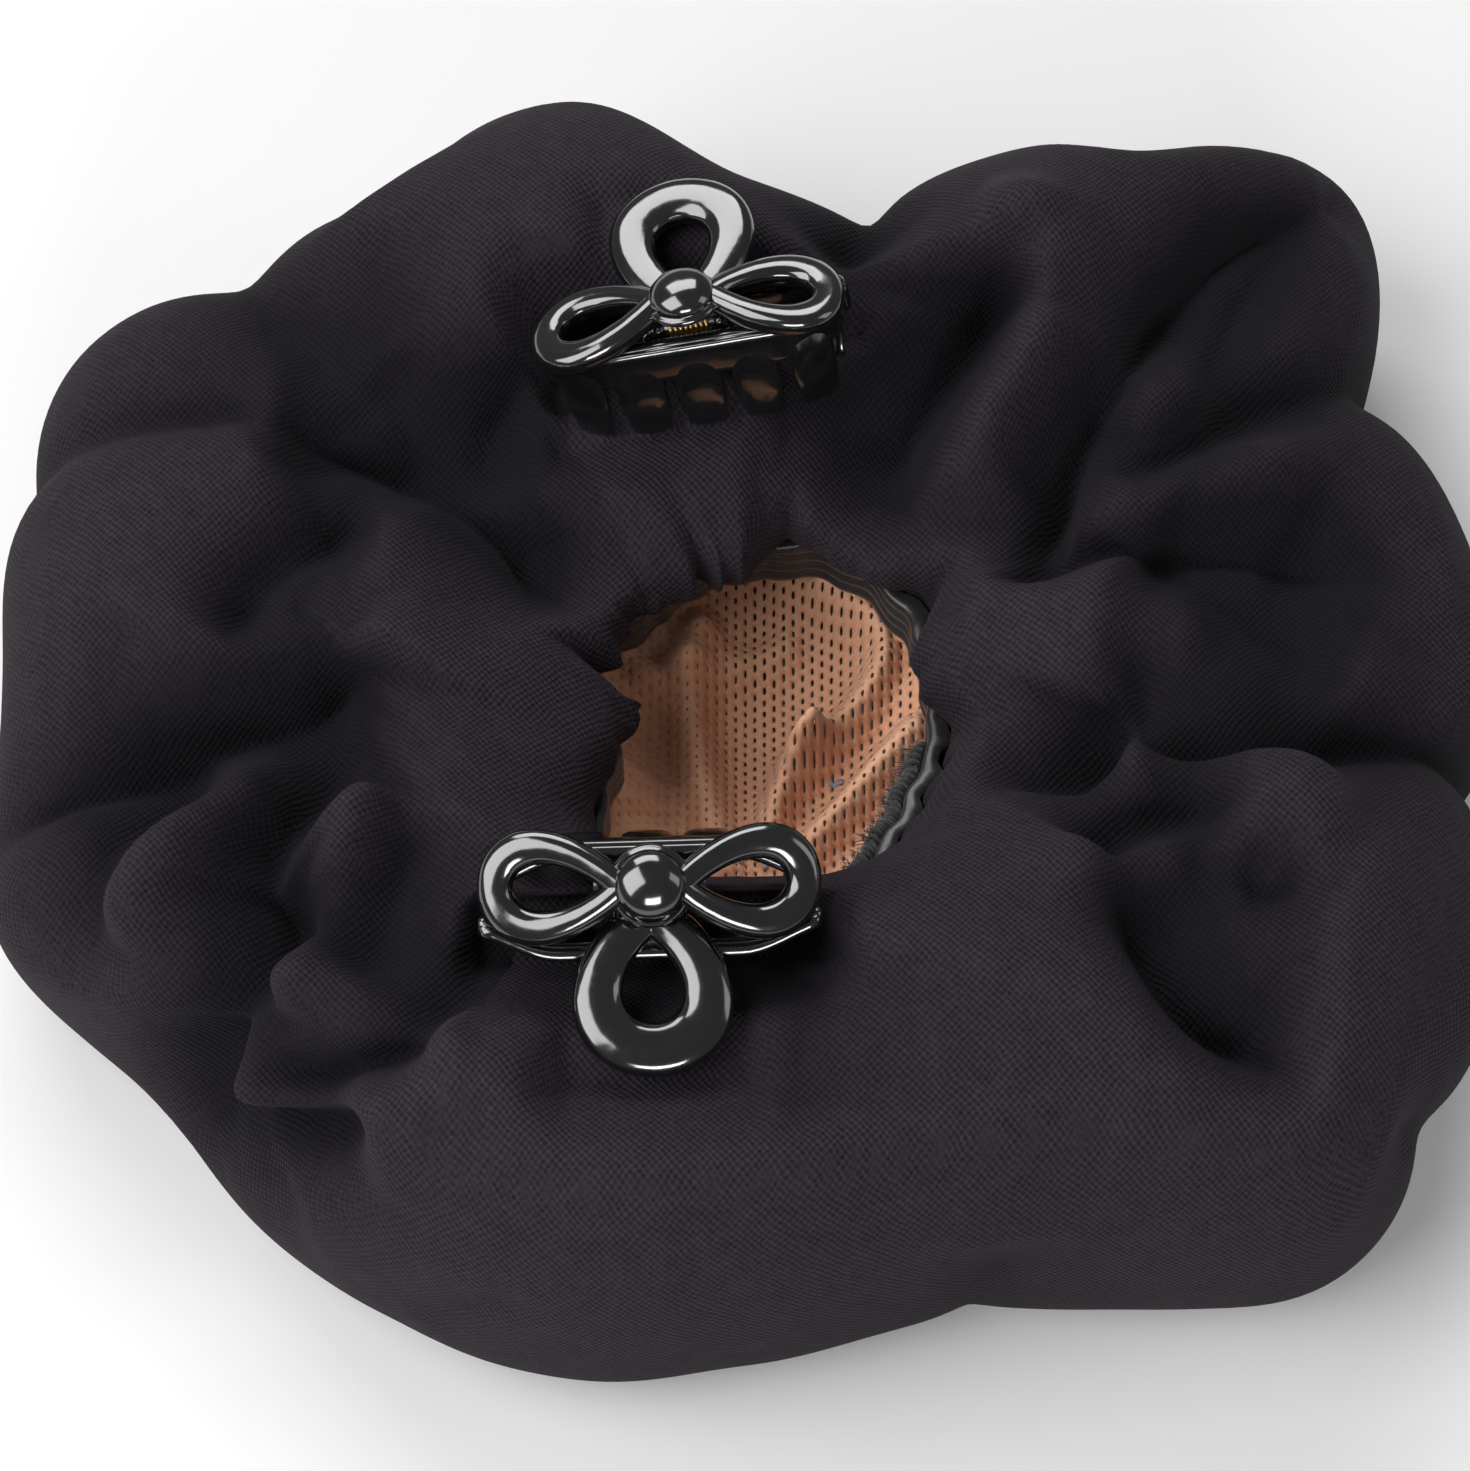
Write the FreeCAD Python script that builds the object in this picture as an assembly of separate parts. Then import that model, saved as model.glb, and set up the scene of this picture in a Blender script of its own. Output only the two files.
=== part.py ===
import FreeCAD
import Part
import Mesh
import math
import os
from collections import namedtuple

# Ruffled bun holder: a hollow cloth tube gathered on an elastic, with a net pouch across its
# hole and two bow-shaped claw clips that grip its inner edge. It lies flat on the floor.
#
# Millimetres. +X is right, +Y is away from the front, +Z is up, and the floor is z = 0.
# A place on the cloth tube is given by two angles in degrees:
#   angle  round the ring, from +X towards +Y
#   turn   round the tube, 0 at the outer edge, 90 at the crown, 180 at the hole, 270 beneath

CENTRE_X = 1.0
CENTRE_Y = 3.0
WALL = 1.5
GAP = 0.3
FOOT_SINK = 0.6

# The finished holder is moved on the floor by this much, which puts its middle at the origin.
MIDDLE_X = -1.1
MIDDLE_Y = -5.3

# One row for each 15 degrees round the ring.
Section = namedtuple("Section", "angle inner outer crown waist")
SECTIONS = [Section(*row) for row in (
    (0, 18, 70, 36, 15),
    (15, 18, 71, 37, 15),
    (30, 19, 73, 38, 15),
    (45, 20, 84, 40, 16),
    (60, 21, 71, 40, 16),
    (75, 21, 61, 38, 16),
    (90, 22, 57, 40, 16),
    (105, 21, 69, 40, 16),
    (120, 19, 69, 40, 16),
    (135, 17, 71, 38, 16),
    (150, 17, 76, 38, 15),
    (165, 16, 72, 36, 15),
    (180, 15, 69, 36, 15),
    (195, 15, 71, 36, 15),
    (210, 17, 65, 37, 15),
    (225, 19, 65, 38, 15),
    (240, 20, 64, 40, 16),
    (255, 21, 63, 41, 16),
    (270, 21, 60, 41, 16),
    (285, 21, 59, 40, 16),
    (300, 20, 63, 40, 16),
    (315, 19, 74, 39, 16),
    (330, 18, 74, 38, 16),
    (345, 18, 70, 37, 15),
)]
TOP_POWER = 2.15
FOOT_POWER = 3.2

# A fold runs over three places on the tube. right and left are its half widths on the two
# sides of that run, depth is how far it sinks (a ridge has a depth below 0), and lean is how
# far its steeper side hangs over.
Fold = namedtuple(
    "Fold", "name angle_a turn_a angle_b turn_b angle_c turn_c right left depth lean"
)
FOLDS = [Fold(*row) for row in (
    ("rear_notch", 79, -60, 79, 20, 76, 100, 5, 5, 6, 0),
    ("back_right", 60, -60, 56, -10, 60, 50, 6, 6, 3.5, 0),
    ("back_middle", 96, -60, 98, -10, 102, 45, 6, 6, 3.5, 0),
    ("back_left", 118, -50, 122, 0, 124, 50, 6, 6, 4, 0),
    ("rear_left_outer", 133, 0, 139, 50, 142, 96, 7, 7, 4, 0),
    ("rear_left_arc", 138, 88, 141, 103, 147, 124, 3.5, 3.5, 3, 0),
    ("rear_left_long", 153, 84, 148, 122, 158, 172, 4, 5, 8, 1),
    ("roll_left", 118, 120, 130, 113, 142, 128, 3.5, 4.5, 5, 0),
    ("left_upper_edge", 164, -20, 159, 40, 152, 86, 2, 5, 3, 0),
    ("left_crescent", 160, 110, 167, 92, 179, 79, 3.5, 3, 5, 0),
    ("left_step", 171, 92, 174, 100, 179, 107, 1.5, 4, 2, 0),
    ("left_deep", 180, 108, 187, 80, 190, 0, 3.5, 6, 9, 1.5),
    ("left_crease", 189, 76, 197, 50, 206, 10, 3.5, 4.5, 5, 0.5),
    ("left_big", 192, 110, 202, 83, 216, 52, 4.5, 6, 8, 1),
    ("left_notch", 208, 76, 215, 50, 216, -30, 3, 5, 11, 0),
    ("left_soft", 212, 112, 220, 92, 222, 74, 8, 8, 3.5, 0),
    ("clip_side", 240, 98, 234, 88, 238, 74, 4, 4, 5, 0),
    ("front_left_crescent", 238, 76, 231, 54, 223, 33, 2, 4.5, 5, 0),
    ("front_left_lip", 223, 26, 230, 38, 235, 56, 2.5, 2.5, -2.5, 0),
    ("front_left_under", 214, 26, 224, 14, 236, 56, 4, 4.5, 6, 0),
    ("front_ridge", 240, 82, 238, 60, 236, 30, 4, 4, -2.5, 0),
    ("front_notch", 288, -60, 290, -20, 292, 20, 6, 6, 2.5, 0),
    ("front_soft", 282, 112, 277, 88, 276, 56, 8, 8, 2.5, 0),
    ("right_wide", 61, 88, 56, 125, 70, 180, 7, 4, 9, 0),
    ("right_hook", 64, 82, 52, 98, 47, 150, 3.5, 3.5, -3.5, 0),
    ("right_small", 56, 84, 52, 94, 48, 105, 2.5, 2.5, 2, 0),
    ("right_patch", 42, 30, 43, 74, 36, 104, 4, 6, 6, 1),
    ("right_band", 34, 104, 33, 80, 31, 40, 4, 4, -2, 0),
    ("right_long", 38, 98, 35, 128, 20, 150, 3, 3.5, 6, 0.8),
    ("right_notch", 31, -30, 28, 50, 27, 108, 4, 4, 5, 0),
    ("right_ridge", 25, 124, 21, 100, 26, 50, 4, 4, -2, 0),
    ("right_valley", 23, 138, 15, 102, 9, 36, 3.5, 6, 7, 0.8),
    ("right_bulge", 20, 145, 12, 114, 4, 92, 7, 7, -2.5, 0),
    ("right_dent", -1, 120, -8, 112, -20, 138, 5, 5, 4, 0),
    ("right_side", 12, 80, 5, 60, 0, 30, 8, 8, 2.5, 0),
    ("right_thin", -4, -40, -8, 60, -14, 112, 3, 4, 6.5, 0.8),
    ("eye_upper", -13, 112, -19, 128, -26, 146, 3, 3, 4, 0),
    ("eye_valley", -38, 114, -27, 105, -21, 86, 6, 4, 4.5, 0),
    ("eye_ridge", -24, 122, -14, 88, -25, 70, 4, 4, -2, 0),
    ("eye_crease", -25, 84, -29, 79, -25, 73, 2, 2, 2.5, 0),
    ("front_right_deep", -37, 106, -45, 78, -42, 50, 2, 9, 7, 1),
    ("front_right_low", -28, -50, -32, -10, -40, 30, 7, 7, 3.5, 0),
    ("rear_roll", 130, 152, 105, 160, 84, 154, 9, 9, -4, 0),
    ("left_rim", 206, 170, 190, 176, 172, 174, 9, 9, -2, 0),
    ("left_ridge_low", 200, 108, 211, 84, 219, 55, 4, 4, -2, 0),
    ("left_ridge_high", 194, 92, 201, 66, 208, 30, 4, 4, -2, 0),
)]
FOLD_STEPS = 9
FOLD_ROUNDING = 0.8
FOLD_FADE = 0.22
DEEPEST_FOLD = 12.0
GATHERS = 24
GATHER_DEPTH = 1.0
GATHER_FROM = 150
GATHER_TO = 285

# The tube's mesh has a line for each angle and turn below, closer where the clips grip it.
ANGLE_LINES = 72
TURN_LINES = (
    [-75 + 15 * i for i in range(9)]
    + [58, 70]
    + [76 + 5 * i for i in range(15)]
    + [154, 164, 174]
    + [184 + 13 * i for i in range(8)]
)

# The elastic and the seam lie on the cloth at the hole, and the net hangs below them.
BAND_LOW = 12.5
BAND_HIGH = 18.5
BAND_THICK = 1.1
BAND_RIBS = 3
BAND_RIB_HEIGHT = 0.3
SEAM_FROM = -62
SEAM_TO = -4
SEAM_LOW = 12.0
SEAM_HIGH = 17.5
SEAM_THICK = 1.3
NET_THICK = 0.9
NET_RIM_Z = 11.5
NET_LOW_Z = 1.2
NET_BOWL_POWER = 2.6
NET_ANGLES = 48
NET_RINGS = 10

# Net ridges run over three points on plan.
NetFold = namedtuple("NetFold", "name x_a y_a x_b y_b x_c y_c width height")
NET_FOLDS = [NetFold(*row) for row in (
    ("left_ridge", -3.2, 18, -4.2, 11, -1, -6, 2.6, 4.5),
    ("right_ridge", 11, 19, 11.5, 12, 3, 1, 2.4, 6.5),
    ("front_ridge", 15.5, 7, 9.5, 1.5, 3, -5, 2.6, 5.0),
    ("left_swell", -13, 8, -11, 0, -8, -8, 4.0, 2.0),
)]

# A claw clip in its own frame: x along the hinge, y towards the ring, z out of its top.
LOOP_REACH = 14.4
LOOP_APEX = 2.6
LOOP_BEND = 3.45
LOOP_TUBE = 1.4
LOOP_DROOP = 12.0
RING_REACH = 16.5
RING_APEX = 3.4
RING_BEND = 5.6
RING_TUBE = 1.3
RING_RISE = 15.0
RING_LOW = -3.4
RING_STEM = 1.1
KNOT_RADIUS = 3.3
KNOT_HEIGHT = 2.5
KNOT_LOW = -0.6
HINGE_Z = -3.6
PIN_RADIUS = 0.6
PIN_LENGTH = 9.4
RUNNING_FIT = 0.05
EAR_RADIUS = 1.2
EAR_THICK = 0.9
EAR_ARM = 0.4
BOW_EAR_X = 4.0
BOW_HANGERS = (7.5, 11.5)
RING_EAR_X = 2.8
SPRING_RADIUS = 1.3
SPRING_LENGTH = 4.0
BOW_COMB_Y = 3.0
BOW_COMB_HALF = 12.8
RING_COMB_Y = 5.5
RING_COMB_HALF = 14.6
SPINE_Z = -5.2
SPINE_TUBE = 0.9
TOOTH_WIDTH = 2.2
TOOTH_THICK = 1.1
TOOTH_BELLY_OUT = 0.9
TOOTH_BELLY_Z = -8.8
TOOTH_TIP_IN = 0.6
TOOTH_TIP_Z = -13.2
TEETH = 5

# Where each clip sits: the middle of its knot, its lean from upright towards the outside of
# the ring, its roll about its own y, its turn about its own z, and the side of the ring it is
# on (1 rear, -1 front).
Clip = namedtuple("Clip", "name x y z lean roll spin side")
CLIPS = [Clip(*row) for row in (
    ("front", -7.0, -28.0, 43.5, 33, -2.5, 1.5, -1),
    ("rear", -4.8, 32.3, 43.5, 12.5, -10.5, 2.5, 1),
)]

# The cloth under a clip is pressed down to these levels of the clip's own frame.
RIDGE_HALF = 1.8
RIDGE_TOP = -6.4
GROOVE_HALF = 8.2
GROOVE_LOW = -14.2
GROOVE_END = 15.6
GROOVE_SLOPE = 1.6


def smooth(x):
    x = min(max(x, 0.0), 1.0)
    return x * x * (3 - 2 * x)


def between_rows(name, angle):
    """Smooth value of a section column at any angle."""
    step = 360 / len(SECTIONS)
    place = angle / step % len(SECTIONS)
    i = int(place)
    t = place - i
    p0, p1, p2, p3 = (getattr(SECTIONS[(i + k) % len(SECTIONS)], name) for k in (-1, 0, 1, 2))
    return 0.5 * (
        2 * p1
        + (p2 - p0) * t
        + (2 * p0 - 5 * p1 + 4 * p2 - p3) * t**2
        + (3 * p1 - p0 - 3 * p2 + p3) * t**3
    )


def plain_tube(angle, turn):
    """The tube with no folds."""
    inner = between_rows("inner", angle)
    outer = between_rows("outer", angle)
    crown = between_rows("crown", angle)
    waist = between_rows("waist", angle)
    c = math.cos(math.radians(turn))
    s = math.sin(math.radians(turn))
    power = 2 / (TOP_POWER if s > 0 else FOOT_POWER)
    across = math.copysign(abs(c) ** power, c)
    up = math.copysign(abs(s) ** power, s)
    radius = (inner + outer) / 2 + (outer - inner) / 2 * across
    z = waist + (crown - waist if up > 0 else waist) * up
    a = math.radians(angle)
    return FreeCAD.Vector(CENTRE_X + radius * math.cos(a), CENTRE_Y + radius * math.sin(a), z)


def outward(angle, turn):
    step = 0.4
    round_ring = plain_tube(angle + step, turn) - plain_tube(angle - step, turn)
    round_tube = plain_tube(angle, turn + step) - plain_tube(angle, turn - step)
    return round_ring.cross(round_tube).normalize()


def through(a, b, c, t):
    """A parabola that passes b at its middle."""
    control = 2 * b - (a + c) / 2
    return (1 - t) ** 2 * a + 2 * t * (1 - t) * control + t * t * c


def fold_run(fold):
    points = []
    for i in range(FOLD_STEPS + 1):
        t = i / FOLD_STEPS
        angle = through(fold.angle_a, fold.angle_b, fold.angle_c, t)
        turn = through(fold.turn_a, fold.turn_b, fold.turn_c, t)
        points.append(plain_tube(angle, turn))
    return points


def nearest_on(points, p):
    """Distance, share of the run, foot and direction of the nearest place on a run."""
    best = None
    for i in range(len(points) - 1):
        a = points[i]
        run = points[i + 1] - a
        t = min(max((p - a).dot(run) / run.dot(run), 0.0), 1.0)
        foot = a + run * t
        distance = (p - foot).Length
        if best is None or distance < best[0]:
            best = (distance, (i + t) / (len(points) - 1), foot, run)
    return best


RUNS = [(fold, fold_run(fold)) for fold in FOLDS]


def fold_push(fold, run, p, normal):
    """How far one fold moves a place along its normal, and sideways."""
    widest = max(fold.right, fold.left)
    if min((p - q).Length for q in run) > 4.5 * widest + 12:
        return 0.0, None
    distance, share, foot, along = nearest_on(run, p)
    fade = math.sqrt(smooth(min(share, 1 - share) / FOLD_FADE))
    across = (along.normalize()).cross(normal)
    on_right = 0.5 + 0.5 * math.tanh((p - foot).dot(across) / 1.2)
    width = fold.left + (fold.right - fold.left) * on_right
    if fold.depth > 0:
        sharp = math.hypot(distance, FOLD_ROUNDING) - FOLD_ROUNDING
        push = -fold.depth * fade * math.exp(-sharp / width)
    else:
        push = -fold.depth * fade * math.exp(-((distance / width) ** 2))
    sign = 1 if fold.right < fold.left else -1
    share_over = on_right if sign > 0 else 1 - on_right
    lean = fold.lean * fade * share_over * math.exp(-((distance / (1.6 * width)) ** 2))
    return push, across * (-sign * lean)


def gathers(angle, turn):
    turn = turn % 360
    a = math.radians(angle)
    wave = 0.5 - 0.5 * math.cos(GATHERS * a + 1.3 * math.sin(3 * a))
    window = smooth((turn - GATHER_FROM) / 25) * smooth((GATHER_TO - turn) / 45)
    return GATHER_DEPTH * wave * window


def clip_axes(clip):
    """The clip's x, y and z directions."""
    lean = math.radians(clip.lean)
    z = FreeCAD.Vector(0, clip.side * math.sin(lean), math.cos(lean))
    y = FreeCAD.Vector(0, clip.side * math.cos(lean), -math.sin(lean))
    z = FreeCAD.Rotation(y, clip.roll).multVec(z)
    y = FreeCAD.Rotation(z, clip.spin).multVec(y)
    return y.cross(z), y, z


def pressed(p):
    """The cloth's place once the clips' grooves and the ridge between them are pressed in."""
    for clip in CLIPS:
        x_dir, y_dir, z_dir = clip_axes(clip)
        d = p - FreeCAD.Vector(clip.x, clip.y, clip.z)
        x = abs(d.dot(x_dir))
        y = d.dot(y_dir)
        z = d.dot(z_dir)
        end = max(0.0, x - GROOVE_END) * GROOVE_SLOPE
        side = max(0.0, abs(y) - GROOVE_HALF) * GROOVE_SLOPE
        level = GROOVE_LOW + end + side
        if abs(y) < RIDGE_HALF:
            level = max(level, RIDGE_TOP)
        if y > RING_APEX and x < RING_BEND + RING_TUBE + 1:
            level = min(level, ring_rest_level(y))
        if 0 < z - level < 22:
            p = p + z_dir * (level - z)
    return p


def ring_rest_level(y):
    """The highest that cloth may stand under the ring."""
    past = max(0.0, y - RING_REACH)
    middle = RING_LOW + (y - RING_APEX) * math.tan(math.radians(RING_RISE))
    return middle - RING_TUBE - GAP + past * GROOVE_SLOPE


def cloth(angle, turn):
    """A place on the folded cloth's outer face."""
    p = plain_tube(angle, turn)
    normal = outward(angle, turn)
    push = -gathers(angle, turn)
    aside = FreeCAD.Vector(0, 0, 0)
    for fold, run in RUNS:
        along, over = fold_push(fold, run, p, normal)
        push += along
        if over:
            aside = aside + over
    if push < 0:
        push = -DEEPEST_FOLD * math.tanh(-push / DEEPEST_FOLD)
    p = pressed(p + normal * push + aside)
    p.z = max(p.z - FOOT_SINK, 0.0)
    return p


def closed_grid(rows):
    """Triangles of a grid that closes on itself both ways."""
    facets = []
    n = len(rows)
    m = len(rows[0])
    for i in range(n):
        for j in range(m):
            a = rows[i][j]
            b = rows[(i + 1) % n][j]
            c = rows[(i + 1) % n][(j + 1) % m]
            d = rows[i][(j + 1) % m]
            facets += split_quad(a, b, c, d)
    return facets


def split_quad(a, b, c, d):
    if (c - a).Length < (d - b).Length:
        return [(a, b, c), (a, c, d)]
    return [(a, b, d), (b, c, d)]


def shell_of(facets):
    mesh = Mesh.Mesh([corner for facet in facets for corner in facet])
    shape = Part.Shape()
    shape.makeShapeFromMesh(mesh.Topology, 0.001)
    return Part.Shell(shape.Faces)


def solid_of(facets):
    solid = Part.Solid(shell_of(facets))
    if solid.Volume < 0:
        solid.reverse()
    return solid


def tube_middle(angle):
    radius = (between_rows("inner", angle) + between_rows("outer", angle)) / 2
    return ring_place(angle, radius, between_rows("waist", angle))


def in_section(p, angle):
    """The share of the plain tube's size, and the turn, that a place has in one section."""
    inner = between_rows("inner", angle)
    outer = between_rows("outer", angle)
    crown = between_rows("crown", angle)
    waist = between_rows("waist", angle)
    radius = math.hypot(p.x - CENTRE_X, p.y - CENTRE_Y)
    x = (2 * radius - inner - outer) / (outer - inner)
    z = (p.z - waist) / (crown - waist if p.z > waist else waist)
    power = TOP_POWER if z > 0 else FOOT_POWER
    across = abs(x) ** (power / 2)
    up = abs(z) ** (power / 2)
    turn = math.degrees(math.atan2(math.copysign(up, z), math.copysign(across, x)))
    return (across**2 + up**2) ** (1 / power), turn


def lining(skin_rows):
    """The hollow's face: the tube drawn in to lie under the deepest fold near each place."""
    step = 360 / ANGLE_LINES
    skin = [[in_section(p, step * i) for p in row] for i, row in enumerate(skin_rows)]
    turns = TURN_LINES[::2]
    rows = []
    for i in range(ANGLE_LINES):
        near = skin[i - 1] + skin[i] + skin[(i + 1) % ANGLE_LINES]
        middle = tube_middle(step * i)
        row = []
        for j, turn in enumerate(turns):
            low = turns[j - 1]
            width = (turns[(j + 1) % len(turns)] - low) % 360
            least = min([share for share, place in near if (place - low) % 360 <= width] + [1.0])
            arm = plain_tube(step * i, turn) - middle
            p = middle + arm * (least - WALL / arm.Length)
            p.z = max(p.z, WALL)
            row.append(p)
        rows.append(row)
    return rows


def ruffle():
    """The cloth tube: an outer skin with a hollow inside it."""
    rows = [[cloth(360 * i / ANGLE_LINES, turn) for turn in TURN_LINES] for i in range(ANGLE_LINES)]
    skin = solid_of(closed_grid(rows))
    hollow = solid_of(closed_grid(lining(rows)))
    hollow_shell = hollow.Shells[0].reversed()
    return Part.Solid(Part.Compound([skin.Shells[0], hollow_shell]))


def hole_radius(angle, low, high):
    """The smallest radius of the cloth at the hole between two heights."""
    smallest = 1e9
    for turn in range(150, 250, 4):
        p = cloth(angle, turn)
        if low - 1.5 < p.z < high + 1.5:
            smallest = min(smallest, math.hypot(p.x - CENTRE_X, p.y - CENTRE_Y))
    return smallest


def ring_place(angle, radius, z):
    a = math.radians(angle)
    return FreeCAD.Vector(CENTRE_X + radius * math.cos(a), CENTRE_Y + radius * math.sin(a), z)


def neighbours_least(values, reach=1):
    n = len(values)
    return [min(values[(i + k) % n] for k in range(-reach, reach + 1)) for i in range(n)]


def elastic_band():
    """A ribbed band, gathered against the cloth all round the hole."""
    angles = [360 * i / ANGLE_LINES for i in range(ANGLE_LINES)]
    radii = neighbours_least([hole_radius(a, BAND_LOW, BAND_HIGH) for a in angles])
    step = (BAND_HIGH - BAND_LOW) / (2 * BAND_RIBS)
    heights = [BAND_LOW + step * k for k in range(2 * BAND_RIBS + 1)]
    rows = []
    for angle, radius in zip(angles, radii):
        back = radius - GAP
        face = back - BAND_THICK
        loop = [ring_place(angle, back, BAND_HIGH), ring_place(angle, back, BAND_LOW)]
        for k, z in enumerate(heights):
            rib = BAND_RIB_HEIGHT if k % 2 else 0
            loop.append(ring_place(angle, face - rib, z))
        rows.append(loop)
    return solid_of(closed_grid(rows))


def overlock_seam():
    """The seam's fuzzy edge, which shows inside the band at the right."""
    count = 16
    rows = []
    for i in range(count + 1):
        angle = SEAM_FROM + (SEAM_TO - SEAM_FROM) * i / count
        full = smooth(min(i, count - i) / 3 + 0.25)
        back = hole_radius(angle, BAND_LOW, BAND_HIGH) - GAP - BAND_THICK - BAND_RIB_HEIGHT - 1.1
        middle = (SEAM_LOW + SEAM_HIGH) / 2
        half = (SEAM_HIGH - SEAM_LOW) / 2 * full
        thick = SEAM_THICK * full
        wave = 0.5 * math.sin(i * 1.9)
        rows.append([
            ring_place(angle, back + wave * 0.2, middle + half),
            ring_place(angle, back, middle),
            ring_place(angle, back + wave * 0.2, middle - half),
            ring_place(angle, back - thick * 0.8, middle - half * 0.9 + wave * 0.3),
            ring_place(angle, back - thick, middle),
            ring_place(angle, back - thick * 0.8, middle + half * 0.9 + wave * 0.3),
        ])
    facets = []
    for i in range(count):
        for j in range(6):
            k = (j + 1) % 6
            facets += split_quad(rows[i][j], rows[i + 1][j], rows[i + 1][k], rows[i][k])
    for row, order in ((rows[0], 1), (rows[-1], -1)):
        middle = FreeCAD.Vector(0, 0, 0)
        for p in row:
            middle = middle + p * (1 / 6)
        for j in range(6):
            a, b = row[j], row[(j + 1) % 6]
            facets.append((middle, b, a)[::order])
    return solid_of(facets)


def net_level(p, share):
    """Height of the net's top face on plan, where share is 0 at the middle and 1 at its rim."""
    z = NET_LOW_Z + NET_THICK + (NET_RIM_Z - NET_LOW_Z - NET_THICK) * share**NET_BOWL_POWER
    for fold in NET_FOLDS:
        run = []
        for i in range(7):
            t = i / 6
            x = through(fold.x_a, fold.x_b, fold.x_c, t)
            y = through(fold.y_a, fold.y_b, fold.y_c, t)
            run.append(FreeCAD.Vector(x, y, 0))
        distance, along, foot, direction = nearest_on(run, FreeCAD.Vector(p.x, p.y, 0))
        fade = 1 - share**5
        z += fold.height * fade * math.exp(-((distance / fold.width) ** 2)) * (1 - 0.4 * along)
    return z


def mesh_pouch():
    """The net: a shallow dish hung below the band, with soft ridges."""
    angles = [360 * i / NET_ANGLES for i in range(NET_ANGLES)]
    radii = [hole_radius(a, NET_RIM_Z - 3, NET_RIM_Z) for a in angles]
    radii = [r - GAP for r in neighbours_least(radii)]
    tops = []
    lows = []
    for angle, radius in zip(angles, radii):
        top_row = []
        low_row = []
        for k in range(1, NET_RINGS + 1):
            share = k / NET_RINGS
            p = ring_place(angle, radius * share, 0)
            p.z = net_level(p, share)
            top_row.append(p)
            low_row.append(FreeCAD.Vector(p.x, p.y, p.z - NET_THICK))
        tops.append(top_row)
        lows.append(low_row)
    centre = ring_place(0, 0, 0)
    centre.z = net_level(centre, 0)
    below = FreeCAD.Vector(centre.x, centre.y, centre.z - NET_THICK)
    facets = []
    for i in range(NET_ANGLES):
        j = (i + 1) % NET_ANGLES
        facets.append((centre, tops[i][0], tops[j][0]))
        facets.append((below, lows[j][0], lows[i][0]))
        for k in range(NET_RINGS - 1):
            facets += split_quad(tops[i][k], tops[i][k + 1], tops[j][k + 1], tops[j][k])
            facets += split_quad(lows[i][k], lows[j][k], lows[j][k + 1], lows[i][k + 1])
        facets += split_quad(tops[i][-1], lows[i][-1], lows[j][-1], tops[j][-1])
    return solid_of(facets)


def teardrop(apex, reach, bend, tube):
    """A round tube along a teardrop: two straight sides from the apex and one large arc."""
    middle = reach - bend - tube
    half_gap = math.acos(bend / (middle - apex))
    touch_x = middle - bend * math.cos(half_gap)
    touch_y = bend * math.sin(half_gap)
    start = FreeCAD.Vector(apex, 0, 0)
    up = FreeCAD.Vector(0, 0, 1)
    centre = FreeCAD.Vector(middle, 0, 0)
    sweep = 360 - 2 * math.degrees(half_gap)
    arc = Part.makeTorus(bend, tube, centre, up, 0, 360, sweep)
    arc.rotate(centre, up, -sweep / 2)
    pieces = [Part.makeSphere(tube, start)]
    for side in (-1, 1):
        run = FreeCAD.Vector(touch_x, side * touch_y, 0) - start
        pieces.append(Part.makeCylinder(tube, run.Length, start, run))
    return arc.fuse(pieces)


def tooth(x, comb_y):
    """One curved tooth that hangs from a comb's spine."""
    side = math.copysign(1, comb_y)
    top_y = abs(comb_y)
    belly_y = top_y + TOOTH_BELLY_OUT
    tip_y = top_y - TOOTH_TIP_IN
    half = TOOTH_THICK / 2
    tip_half = half / 2

    def at(y, z):
        return FreeCAD.Vector(x - TOOTH_WIDTH / 2, side * y, z)

    outer = Part.Arc(
        at(top_y + half, SPINE_Z),
        at(belly_y + half, TOOTH_BELLY_Z),
        at(tip_y + tip_half, TOOTH_TIP_Z),
    ).toShape()
    inner = Part.Arc(
        at(tip_y - tip_half, TOOTH_TIP_Z),
        at(belly_y - half, TOOTH_BELLY_Z),
        at(top_y - half, SPINE_Z),
    ).toShape()
    tip = Part.makeLine(at(tip_y + tip_half, TOOTH_TIP_Z), at(tip_y - tip_half, TOOTH_TIP_Z))
    root = Part.makeLine(at(top_y - half, SPINE_Z), at(top_y + half, SPINE_Z))
    face = Part.Face(Part.Wire([outer, tip, inner, root]))
    return face.extrude(FreeCAD.Vector(TOOTH_WIDTH, 0, 0))


def rod(a, b, radius):
    return Part.makeCylinder(radius, (b - a).Length, a, b - a).fuse(
        [Part.makeSphere(radius, a), Part.makeSphere(radius, b)]
    )


def comb(y, half_length):
    """A straight spine with a row of curved teeth under it."""
    ends = [FreeCAD.Vector(side * half_length, y, SPINE_Z) for side in (-1, 1)]
    reach = half_length - TOOTH_WIDTH / 2
    teeth = [tooth(-reach + 2 * reach * i / (TEETH - 1), y) for i in range(TEETH)]
    return [rod(ends[0], ends[1], SPINE_TUBE)] + teeth


def ears(x_middle):
    """Two drilled ears round the hinge pin."""
    out = []
    for side in (-1, 1):
        base = FreeCAD.Vector(side * x_middle - EAR_THICK / 2, 0, HINGE_Z)
        out.append(Part.makeCylinder(EAR_RADIUS, EAR_THICK, base, FreeCAD.Vector(1, 0, 0)))
    return out


def pin_bore():
    radius = PIN_RADIUS + RUNNING_FIT
    start = FreeCAD.Vector(-PIN_LENGTH, 0, HINGE_Z)
    return Part.makeCylinder(radius, 2 * PIN_LENGTH, start, FreeCAD.Vector(1, 0, 0))


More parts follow.
